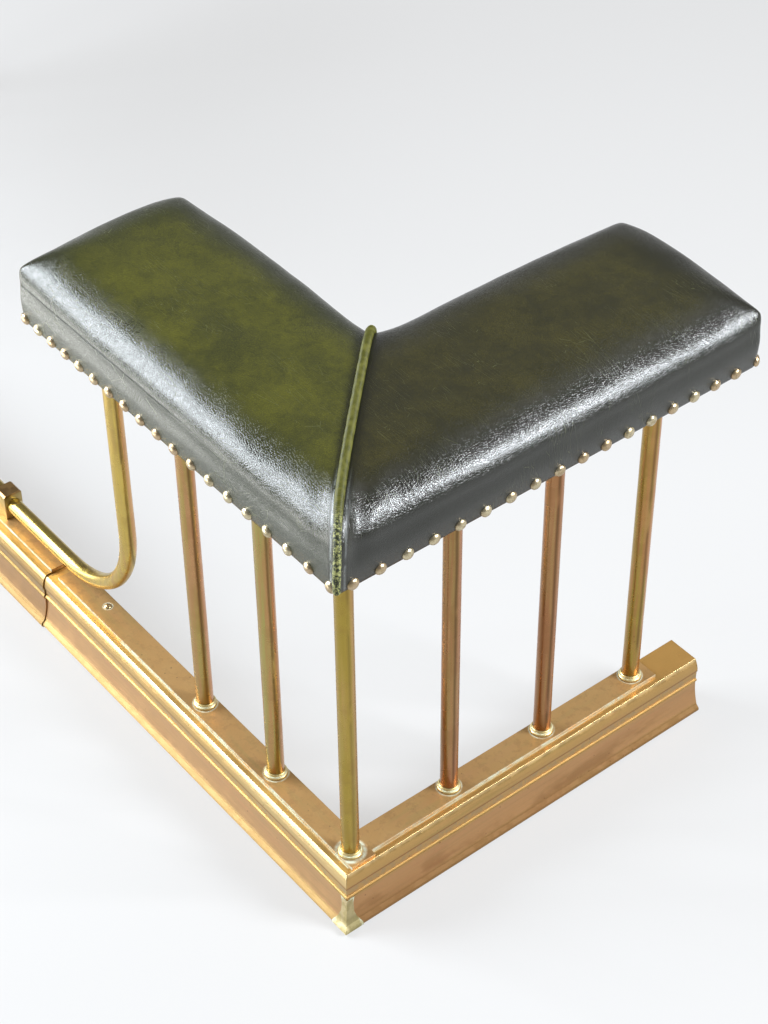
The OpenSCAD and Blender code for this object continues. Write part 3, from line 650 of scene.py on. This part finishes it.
def nailTree():  # on each point a flattened ball and a pointed shank, faced outwards and tilted a little
    tree = bpy.data.node_groups.new("nailRow", "GeometryNodeTree")
    sockets = tree.interface
    sockets.new_socket("Geometry", in_out="INPUT", socket_type="NodeSocketGeometry")
    kinds = {key: "NodeSocketFloat" for key in nailSizes}
    kinds.update({"Seed": "NodeSocketInt", "Material": "NodeSocketMaterial"})
    ids = {key: sockets.new_socket(key, in_out="INPUT", socket_type=kind).identifier
           for key, kind in kinds.items()}
    sockets.new_socket("Geometry", in_out="OUTPUT", socket_type="NodeSocketGeometry")

    def make(kind, inputs, **settings):
        node = tree.nodes.new(kind)
        for key, value in settings.items():
            setattr(node, key, value)
        for key, value in inputs.items():
            if isinstance(value, bpy.types.NodeSocket):
                tree.links.new(value, node.inputs[key])
            else:
                node.inputs[key].default_value = value
        return node.outputs

    given, end = tree.nodes.new("NodeGroupInput").outputs, tree.nodes.new("NodeGroupOutput")
    ball = make("GeometryNodeMeshUVSphere", {"Segments": 14, "Rings": 8, "Radius": given["Head radius"]})
    flat = make("ShaderNodeMath", {0: given["Head height"], 1: given["Head radius"]}, operation="DIVIDE")
    sizes = make("ShaderNodeCombineXYZ", {0: 1.0, 1: 1.0, 2: flat[0]})
    head = make("GeometryNodeTransform", {"Geometry": ball["Mesh"], "Scale": sizes[0]})
    cone = make("GeometryNodeMeshCone", {"Vertices": 6, "Depth": given["Shank length"],
                                         "Radius Bottom": given["Shank radius"]})
    shank = make("GeometryNodeTransform", {"Geometry": cone["Mesh"], "Rotation": (math.pi, 0, 0)})
    joined = make("GeometryNodeJoinGeometry", {0: head[0]})
    tree.links.new(shank[0], joined[0].node.inputs[0])  # a second link into the same socket
    facing = make("GeometryNodeInputNamedAttribute", {"Name": "facing"}, data_type="FLOAT_VECTOR")
    aim = make("FunctionNodeAlignRotationToVector", {"Vector": facing["Attribute"]}, axis="Z")
    least = make("ShaderNodeMath", {0: given["Tilt"], 1: -1.0}, operation="MULTIPLY")
    chance = make("FunctionNodeRandomValue", {"Min": least[0], "Max": given["Tilt"], "Seed": given["Seed"]},
                  data_type="FLOAT_VECTOR")
    tilt = make("FunctionNodeEulerToRotation", {0: chance["Value"]})
    way = make("FunctionNodeRotateRotation", {"Rotation": aim[0], "Rotate By": tilt[0]},
               rotation_space="LOCAL")
    spread = make("GeometryNodeInstanceOnPoints", {"Points": given["Geometry"], "Instance": joined[0],
                                                   "Rotation": way[0]})
    real = make("GeometryNodeRealizeInstances", {0: spread[0]})
    smooth = make("GeometryNodeSetShadeSmooth", {0: real[0]})
    coat = make("GeometryNodeSetMaterial", {0: smooth[0], "Material": given["Material"]})
    tree.links.new(coat[0], end.inputs[0])
    return tree, ids


def nailFinish():
    head = Finish("nailHeads", Metallic=1.0)
    patch = head.cloud(0.004, 4.0, 0.65).ramp(0.40, 0.66)
    dirt = head.cloud(0.0014, 3.0, 0.7, (3, 0, 0)).ramp(0.56, 0.68)
    each = head.cloud(0.030, 1.0, 0.5, (0, 7, 0)).ramp(0.40, 0.60)
    pale = head.mix(each, (0.60, 0.53, 0.36), (0.50, 0.38, 0.24))
    base = head.mix(patch * 0.6, pale, (0.30, 0.23, 0.12))
    base = head.mix(dirt * 0.7, base, (0.07, 0.055, 0.03))
    dents = head.bump(head.cloud(0.0022, 3.0, 0.6), 0.0005, 0.5)
    return head.made(base, 0.24 + patch * 0.16 + dirt * 0.2, dents)


nailGroup, nailIds = nailTree()
nailLook = nailFinish()
spots = nailPlaces()
for side in ("right", "left"):
    mesh = bpy.data.meshes.new("spots")
    mesh.from_pydata([tuple(p) for p in placed([s[0] for s in spots], side)], [], [])
    facing = mesh.attributes.new("facing", "FLOAT_VECTOR", "POINT")
    facing.data.foreach_set("vector",
                            [v for s in spots for v in (s[1][0] * sideSign[side], s[1][1], 0.0)])
    row = newObject(side + "Nails", mesh)
    maker = row.modifiers.new("nails", "NODES")
    maker.node_group = nailGroup
    for key, value in {**nailSizes, "Seed": nails["seed"], "Material": nailLook}.items():
        maker[nailIds[key]] = value
    applyModifiers(row)
    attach(row, sideBody[side])
    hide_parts(side + "_upholstery_nails")
print("nails driven")


# cloth under the seat, in mm
lining = {"gap": 4.0, "tubeR": 8.6, "rings": 20, "clear": 4, "rise": 0.9, "thick": 0.7, "sag": 1.2,
          "sagIn": 60, "step": 16}


def liningPiece(side):
    near = seat["in"] + lining["gap"]
    far = seat["in"] + seat["width"] - lining["gap"]
    long = seat["reach"] - seat["endR"]
    outline = [(-near, near), (-near, long), (-far, long), (-far, far), (-long, far), (-long, near)]
    tubes = [(-whole["cornerIn"], whole["cornerIn"])]
    tubes += [uprightAt(arm, k) for arm in ("front", "return") for k in (1, 2, 3)]
    points = [Vector(p) for p in outline]
    edges = [(k, (k + 1) % len(outline)) for k in range(len(outline))]
    rings = lining["rings"]
    for cx, cy in tubes:
        first = len(points)
        points += [Vector((cx + lining["tubeR"] * math.cos(2 * math.pi * k / rings),
                           cy + lining["tubeR"] * math.sin(2 * math.pi * k / rings))) for k in range(rings)]
        edges += [(first + k, first + (k + 1) % rings) for k in range(rings)]

    def inside(x, y, clear):  # on the cloth and clear of the tubes
        front = -long < x < -near and near < y < far
        back = -far < x < -near and near < y < long
        return (front or back) and min(math.hypot(x - cx, y - cy) for cx, cy in tubes) > clear

    for i in range(math.ceil((long - near) / lining["step"])):
        for j in range(math.ceil((long - near) / lining["step"])):
            x, y = -long + i * lining["step"], near + j * lining["step"]
            if inside(x, y, lining["tubeR"] + lining["clear"]):
                points.append(Vector((x, y)))
    found = geometry.delaunay_2d_cdt(points, edges, [], 0, 1e-5)
    verts, faces = found[0], found[2]
    keep = []
    for f in faces:
        mx = sum(verts[v].x for v in f) / len(f)
        my = sum(verts[v].y for v in f) / len(f)
        if inside(mx, my, lining["tubeR"] * 0.98):
            keep.append(tuple(f))
    body = []
    for v in verts:
        across = min(-v.x - near, v.y - near, max(far - v.y, far + v.x))
        drop = lining["sag"] * math.sin(math.pi / 2 * clamp(across / lining["sagIn"]))
        drop *= 0.6 + 0.4 * noise.noise(Vector((v.x / 60, v.y / 60, 2.0)))
        body.append((v.x, v.y, whole["seatZ"] + lining["rise"] - drop))
    return makePiece(side + "DustCloth", body, [f[::-1] for f in keep], side)


weave = Finish("liningCloth")
threads = weave.cells(0.0009)
threadTone = weave.mix(threads.ramp(0.2, 0.7), (0.030, 0.030, 0.032), (0.012, 0.012, 0.013))
weaveLook = weave.made(threadTone, 0.9, weave.bump(threads, 0.0003, 0.6))
for side in ("right", "left"):
    under = liningPiece(side)
    thicken(under, lining["thick"], 0.0)
    under.data.materials.append(weaveLook)
    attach(under, sideBody[side])
    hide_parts(side + "_dust_cloth")
print("lining tacked")


# brass; the finishes measure in m, up from the floor, in from an arm's outer face or along from the corner
tone = {"gold": (0.62, 0.43, 0.17), "pale": (0.80, 0.66, 0.36), "olive": (0.42, 0.35, 0.13),
        "copper": (0.62, 0.30, 0.17), "pink": (0.66, 0.38, 0.24), "brown": (0.27, 0.145, 0.055),
        "dark": (0.085, 0.05, 0.022), "green": (0.66, 0.74, 0.60)}


def fromCorner(skin, arm):  # in from the arm's outer face, along from the corner, up from the floor
    x, y, z = skin.axes()
    ways = (y - whole["frontY"] * mm, whole["halfFront"] * mm - abs(x))
    return (*ways, z) if arm == "front" else (*ways[::-1], z)


def tarnish(skin, base, seed, streakSize, amount=1.0, specks=0.75):  # copper and olive clouds, dark specks
    streak = skin.cloud(streakSize, 5.0, 0.6, (seed, 0, 0), 0.3)
    patch = skin.cloud(0.045, 4.0, 0.55, (0, seed, 0), 0.5)
    copper = (streak * 0.7 + patch * 0.45 - 0.12).ramp(0.46, 0.68)
    olive = skin.cloud(streakSize, 4.0, 0.6, (0, 0, seed + 4), 0.3).ramp(0.50, 0.66)
    base = skin.mix(copper * 0.42 * amount, base, tone["copper"])
    base = skin.mix(olive * 0.45 * amount, base, tone["olive"])
    some = skin.cloud(0.03, 2.0, 0.5, (seed, 5, 1)).ramp(0.5, 0.62)
    dirt = skin.cells(0.008, "F1", (seed, 1, 2)).ramp(0.13, 0.05) * some
    return skin.mix(dirt * specks, base, tone["dark"]), dirt


# heights and depths at which the moulding's parts begin, end or lie
kerb = {"face": (0.013, 0.0115), "lip": (0.0600, 0.0622), "lipFace": (0.0135, 0.0115),
        "top": (0.0618, 0.0626), "topIn": (0.0112, 0.0125), "strip": 0.0174, "ovolo": (0.0515, 0.0530),
        "ovoloFoot": 0.0500, "fascia": (0.0400, 0.0412), "fasciaTop": (0.0497, 0.0488), "beadTop": 0.0399,
        "bead": 0.0384, "beadFoot": 0.0362, "coveTop": (0.036, 0.030), "coveFoot": (0.007, 0.012),
        "foot": (0.012, 0.0075), "footLitShadeTone": {"front": (0.46, 0.31, 0.12), "return": (0.17, 0.09, 0.018)}}


def kerbFinish(name, arm, litShadeGain, seed, proud=0.0):  # the sleeve stands proud of the kerb
    skin = Finish(name)
    inward, along, z = fromCorner(skin, arm)
    inward, height = inward + proud, z - proud
    streakSize = (0.16, 0.007, 0.0035) if arm == "front" else (0.007, 0.16, 0.0035)
    base = skin.mix(skin.cloud(0.06, 3.0), tone["gold"], (0.58, 0.42, 0.19))
    base, dirt = tarnish(skin, base, seed, streakSize)
    face = inward.ramp(*kerb["face"])
    lip = height.ramp(*kerb["lip"]) * inward.ramp(*kerb["lipFace"])
    underOvolo = height.near(kerb["ovoloFoot"], 0.0016)
    bead = height.near(kerb["bead"], 0.0017)
    beadLines = height.near(kerb["beadFoot"], 0.0006).most(height.near(kerb["beadTop"], 0.0006))
    cove = height.ramp(*kerb["coveTop"]) * height.ramp(*kerb["coveFoot"])
    foot = height.ramp(*kerb["foot"])
    base = skin.mix(cove * face * 0.45, base, tone["pink"])
    # the foot's tone: olive on the front, painted far darker on the return as shade
    base = skin.mix(foot * 0.85, base, kerb["footLitShadeTone"][arm])
    base = skin.mix(underOvolo * face * 0.75, base, (0.30, 0.13, 0.05))
    base = skin.mix(bead * face * 0.75, base, (0.30, 0.20, 0.07))
    base = skin.mix(beadLines * face * 0.5, base, tone["brown"])
    if arm == "front":  # painted highlight on the ovolo, paler towards the corner
        cornerHighlight = height.ramp(*kerb["ovolo"]) * along.ramp(0.24, 0.10) * face
        base = skin.mix(cornerHighlight * 0.42, base, tone["pale"])
    # painted highlight along the lip
    base = skin.mix(lip * 0.85, base, tone["pale"])
    fascia = height.ramp(*kerb["fascia"]) * height.ramp(*kerb["fasciaTop"]) * face
    dull = skin.cloud(0.006, 4.0, 0.7, (seed, 7, 2)).ramp(0.44, 0.56)
    base = skin.mix(fascia * dull * 0.5, base, (0.42, 0.36, 0.24))
    top = height.ramp(*kerb["top"]) * inward.ramp(*kerb["topIn"])
    base = skin.mix(top * 0.8, base, (0.62, 0.38, 0.11))
    grime = skin.cloud(0.012, 4.0, 0.6, (seed, 2, 2)).ramp(0.42, 0.62)
    patchy = skin.cloud(0.05, 3.0, 0.5, (seed, 4, 2)).ramp(0.36, 0.56)
    crevice = inward.near(kerb["strip"], 0.0011) * top * (patchy * 0.6 + 0.4) * along.ramp(0.380, 0.365)
    crevice = crevice.most(height.near(0.0402, 0.0006) * face * grime * 0.4)
    green = (crevice * (grime * 0.4 + 0.7)).clipped()
    base = skin.mix(green * 0.9, base, tone["green"])
    if arm == "return":
        low = height.ramp(0.034, 0.010) * skin.cloud((0.02, 0.05, 0.02), 4.0).ramp(0.42, 0.62)
        low = low.most(along.ramp(0.16, 0.03) * height.ramp(0.024, 0.006) * 0.8)
        base = skin.mix(low * 0.5, base, tone["brown"])
    corner = along.ramp(0.030, 0.004) * height.ramp(0.040, 0.034)
    base = skin.mix(corner * 0.3, base, tone["brown"])
    # the gain paints light and shade over the whole colour
    base = skin.mix(1.0, base, litShadeGain, "MULTIPLY")
    metal = (1 - green * 0.85 - top * 0.4 - foot * 0.55).clipped()
    rough = 0.30 + grime * 0.08 + green * 0.35 + dirt * 0.2 + foot * 0.4 + bead * 0.4
    ripple = skin.cloud(streakSize, 3.0, 0.5, (seed, 9, 0)) * 0.35
    dents = skin.cloud(0.03, 3.0, 0.5, (seed, 3, 3)) * 2.2
    form = skin.bump(ripple + dents + dirt * -0.5, 0.0004, 0.5, skin.bevel(0.0006))
    return skin.made(base, rough.clipped(), form, metal)


# gains that paint light and shade: the lit front lighter, the shaded return and sleeve darker
kerbLitShadeGains = {"front": (1.05, 1.02, 1.0), "return": (0.83, 0.73, 0.65), "sleeve": (0.81, 0.77, 0.75)}
for arm, seed in (("front", 1.0), ("return", 5.0)):
    look = kerbFinish("kerb" + arm.capitalize() + "Brass", arm, kerbLitShadeGains[arm], seed)
    dress(look, "right_kerb_" + arm, "left_kerb_" + arm)
dress(kerbFinish("sleeveBrass", "front", kerbLitShadeGains["sleeve"], 9.0, 0.0015), "centre_kerb_sleeve")


def reachOf(a, b):  # how far it is to a place that is a and b away
    return (a * a + b * b).calc("SQRT")


# places of the green stains on the bar, with their radius and width
stains = {"edge": (0.0190, 0.0181), "collar": (0.0116, 0.0012), "corner": (0.0124, 0.0030),
          "rivet": (0.0048, 0.0011), "rivetAt": (0.418, 0.0336)}


def verdigris(skin, arm, inward, along, seed):  # along the bar's front edge and round what stands on it
    grime = skin.cloud(0.007, 4.0, 0.65, (seed, 2, 2)).ramp(0.36, 0.56)
    patchy = skin.cloud(0.045, 3.0, 0.5, (seed, 4, 2)).ramp(0.40, 0.60)
    edge = inward.ramp(*stains["edge"]) * (grime * 0.6 + 0.4) * (patchy * 0.6 + 0.4)
    first, pitch, corner = whole["uprightIn"] * mm, whole["pitch"] * mm, whole["cornerIn"] * mm
    step = (along - (first - pitch / 2)).calc("MODULO", pitch) - pitch / 2
    ring = reachOf(step, inward - first).near(*stains["collar"]) * along.ramp(0.090, 0.100)
    ring = ring.most(reachOf(along - corner, inward - corner).near(*stains["corner"]) * 1.2)
    if arm == "front":
        rivet = reachOf(along - stains["rivetAt"][0], inward - stains["rivetAt"][1])
        ring = (ring * along.ramp(0.345, 0.335)).most(rivet.near(*stains["rivet"]))
    return (ring * (grime * 0.6 + 0.4)).most(edge).clipped()


def barFinish(name, arm, litShadeGain, seed):
    skin = Finish(name)
    inward, along = fromCorner(skin, arm)[:2]
    streakSize = (0.10, 0.010, 0.010) if arm == "front" else (0.010, 0.10, 0.010)
    base = skin.mix(skin.cloud(0.03, 5.0, 0.6), (0.60, 0.33, 0.12), (0.70, 0.44, 0.18))
    base, dirt = tarnish(skin, base, seed, streakSize, 0.6)
    blotch = skin.cloud(0.011, 5.0, 0.65, (seed, 0, 3)).ramp(0.48, 0.64)
    base = skin.mix(blotch * 0.3, base, tone["brown"])
    green = verdigris(skin, arm, inward, along, seed)
    base = skin.mix(green * 0.85, base, tone["green"])
    # the gain darkens the colour as painted shade, a little more on the return
    base = skin.mix(1.0, base, (litShadeGain, litShadeGain, litShadeGain), "MULTIPLY")
    rough = 0.42 + blotch * 0.10 + dirt * 0.2 + green * 0.3
    dents = skin.cloud(0.02, 4.0, 0.6, (seed, 3, 3)) + dirt * -0.4
    return skin.made(base, rough, skin.bump(dents, 0.0005, 0.5, skin.bevel(0.0005)), 0.62 - green * 0.5)


dress(barFinish("barFrontBrass", "front", 0.80, 2.0), "right_strip_front", "left_strip_front")
dress(barFinish("barReturnBrass", "return", 0.76, 6.0), "right_strip_return", "left_strip_return")
dress(barFinish("centreBarBrass", "front", 0.80, 12.0), "centre_strip")


# painted shade: on the side turned from the window a darker line and a copper edge stand in for the darker
# reflection there; places are in tube radii
tubeShadeMarks = {"away": (0.617, 0.787), "line": (0.42, 0.24), "edge": (0.55, 0.85)}


def tubeFinish(name, seed, gold, second, at=None, dark=0.0, shadeCopperEdge=0.0):
    skin = Finish(name, Metallic=1.0)
    x, y = skin.axes()[:2]
    streakSize = (0.12, 0.006, 0.006) if at is None else (0.006, 0.006, 0.14)
    base = skin.mix(skin.cloud(streakSize, 4.0, 0.6, (seed, 0, 0)).ramp(0.38, 0.62), gold, second)
    base, dirt = tarnish(skin, base, seed, streakSize, 0.5, 0.35)
    dull = skin.cloud(0.03, 4.0, 0.6, (seed, 3, 1)).ramp(0.45, 0.65)
    base = skin.mix(dull * 0.2, base, tone["brown"])
    shade = 0.0
    # painted shade on the side turned from the window
    if at is not None:
        dx = abs(x) - (whole["halfFront"] + at[0]) * mm
        dy = y - (whole["frontY"] + at[1]) * mm
        across = (dx * tubeShadeMarks["away"][0] + dy * tubeShadeMarks["away"][1]) / (whole["tubeR"] * mm)
        uneven = skin.cloud((0.02, 0.02, 0.09), 3.0, 0.5, (seed, 6, 6)) - 0.5
        line = (across + uneven * 0.25).near(*tubeShadeMarks["line"])
        line = line * skin.cloud((0.03, 0.03, 0.05), 2.0).ramp(0.30, 0.45)
        base = skin.mix((across + uneven * 0.3).ramp(*tubeShadeMarks["edge"]) * shadeCopperEdge, base, tone["copper"])
        base = skin.mix(line * dark, base, tone["dark"])
        shade = line * 0.1
    ripple = skin.bump(skin.cloud(streakSize, 3.0, 0.5, (seed, 8, 8)), 0.0003, 0.25)
    return skin.made(base, 0.24 + dull * 0.12 + dirt * 0.2 + shade, ripple)


# two tones, place in mm from the corner, share of the painted dark shade line and of the painted copper
# shade edge
uprightLooks = {
    "corner_upright": ((0.37, 0.27, 0.055), (0.42, 0.30, 0.075), (-whole["cornerIn"], whole["cornerIn"]),
                       0.35, 0.25),
    "front_upright_1": ((0.38, 0.33, 0.11), (0.42, 0.25, 0.10), uprightAt("front", 1), 0.6, 0.6),
    "front_upright_2": ((0.40, 0.30, 0.10), (0.46, 0.26, 0.12), uprightAt("front", 2), 0.6, 0.7),
    "return_upright_1": ((0.31, 0.18, 0.070), (0.39, 0.18, 0.090), uprightAt("return", 1), 0.7, 0.4),
    "return_upright_2": ((0.33, 0.155, 0.070), (0.35, 0.19, 0.080), uprightAt("return", 2), 0.7, 0.4),
    "return_upright_3": ((0.36, 0.27, 0.06), (0.42, 0.22, 0.08), uprightAt("return", 3), 0.6, 0.6)}
for k, (node, (gold, second, at, dark, shadeCopperEdge)) in enumerate(uprightLooks.items()):
    look = tubeFinish(node + "Brass", 3.0 + k * 2.3, gold, second, at, dark, shadeCopperEdge)
    dress(look, "right_" + node, "left_" + node)
railLook = tubeFinish("railBrass", 21.0, (0.60, 0.45, 0.11), (0.52, 0.38, 0.12),
                      uprightAt("front", 3), 0.6, 0.6)
dress(railLook, "right_rail_tube", "left_rail_tube")
dress(tubeFinish("centreRailBrass", 25.0, (0.58, 0.43, 0.12), (0.50, 0.36, 0.12)), "centre_rail_tube")


def collarFinish():
    skin = Finish("collarBrass")
    z = skin.axes()[2]
    grime = skin.cloud(0.006, 4.0, 0.65, (4, 2, 2)).ramp(0.40, 0.62)
    groove = z.near(0.0692, 0.0007).most(z.ramp(0.0667, 0.0660))
    green = (groove * (grime * 0.7 + 0.3)).clipped()
    base = skin.mix(grime * 0.35, (0.62, 0.48, 0.22), tone["olive"])
    base = skin.mix(green * 0.85, base, tone["green"])
    return skin.made(base, 0.36 + grime * 0.12 + green * 0.3, metallic=0.85 - green * 0.7)


def capFinish():  # painted shade on the return side, with verdigris in the solder line round it
    skin = Finish("capBrass")
    inward, along, z = fromCorner(skin, "front")
    blotch = skin.cloud(0.006, 4.0, 0.6, (2, 2, 7)).ramp(0.40, 0.62)
    out = inward.most(along)
    edge = z.near(0.0345, 0.0016).most(out.near(0.0152, 0.0016) * z.ramp(0.012, 0.020))
    edge = edge.most(out.near(0.0182, 0.0018) * z.ramp(0.014, 0.009))
    green = (edge * (skin.cloud(0.004, 4.0, 0.7, (5, 2, 7)).ramp(0.36, 0.56) * 0.7 + 0.3)).clipped()
    toe = z.ramp(0.013, 0.008)
    low = z.ramp(0.018, 0.008) * inward.ramp(0.001, 0.006)
    onReturn = (inward - along).ramp(-0.0005, 0.0005)
    base = skin.mix(blotch * 0.5, (0.71, 0.60, 0.34), tone["olive"])
    base = skin.mix(low * 0.75, base, (0.20, 0.16, 0.05))
    # painted shade on the return half
    base = skin.mix(onReturn * 0.45, base, (0.20, 0.17, 0.07))
    base = skin.mix(green * 0.7, base, tone["green"])
    metal = (1 - green * 0.8 - toe * 0.6).clipped()
    return skin.made(base, 0.30 + blotch * 0.15 + toe * 0.35, metallic=metal)


def blockFinish():
    skin = Finish("blockBrass", Metallic=1.0)
    z = skin.axes()[2]
    blotch = skin.cloud(0.009, 4.0, 0.6, (1, 5, 7)).ramp(0.40, 0.62)
    top = z.ramp(0.0935, 0.0965)
    base = skin.mix(blotch * 0.5, (0.50, 0.38, 0.18), tone["olive"])
    base = skin.mix(top * 0.8, base, tone["brown"])
    return skin.made(base, 0.34 + blotch * 0.15, skin.bump(blotch, 0.0003, 0.4, skin.bevel(0.0007)))


def plainFinish(name, base, rough, metallic, blotchTone):
    skin = Finish(name, Metallic=metallic)
    blotch = skin.cloud(0.012, 4.0, 0.6, (3, 5, 7)).ramp(0.40, 0.62)
    base = skin.mix(blotch * 0.6, base, blotchTone)
    return skin.made(base, rough + blotch * 0.15, skin.bump(skin.cloud(0.003, 4.0, 0.7), 0.0003, 0.4))


def boardFinish():
    skin = Finish("pineBoard")
    rings = skin.cloud((0.20, 0.012, 0.012), 4.0, 0.6, (1, 1, 1), 0.8)
    base = skin.mix(rings.ramp(0.35, 0.65), (0.56, 0.38, 0.20), (0.40, 0.24, 0.11))
    return skin.made(base, 0.6 + rings * 0.2)


collarLook, capLook, blockLook = collarFinish(), capFinish(), blockFinish()
rivetLook = plainFinish("rivetBrass", (0.66, 0.50, 0.26), 0.25, 1.0, (0.35, 0.20, 0.10))
ironLook = plainFinish("blackIron", (0.045, 0.042, 0.040), 0.55, 0.6, (0.10, 0.05, 0.03))
steelLook = plainFinish("plainSteel", (0.42, 0.41, 0.39), 0.35, 1.0, (0.22, 0.16, 0.12))
boardLook = boardFinish()
dress(blockLook, "right_rail_block", "left_rail_block")
dress(steelLook, "rail_block_dowels")
for side in ("right_", "left_"):
    dress(collarLook, side + "collars")
    dress(capLook, side + "corner_cap")
    dress(rivetLook, side + "kerb_rivets")
    dress(ironLook, side + "base_frame", side + "seat_rail")
    dress(steelLook, side + "tie_rods", side + "tie_nuts", side + "seat_screws")
    dress(boardLook, side + "seat_board_front", side + "seat_board_return")
print("brass dressed")
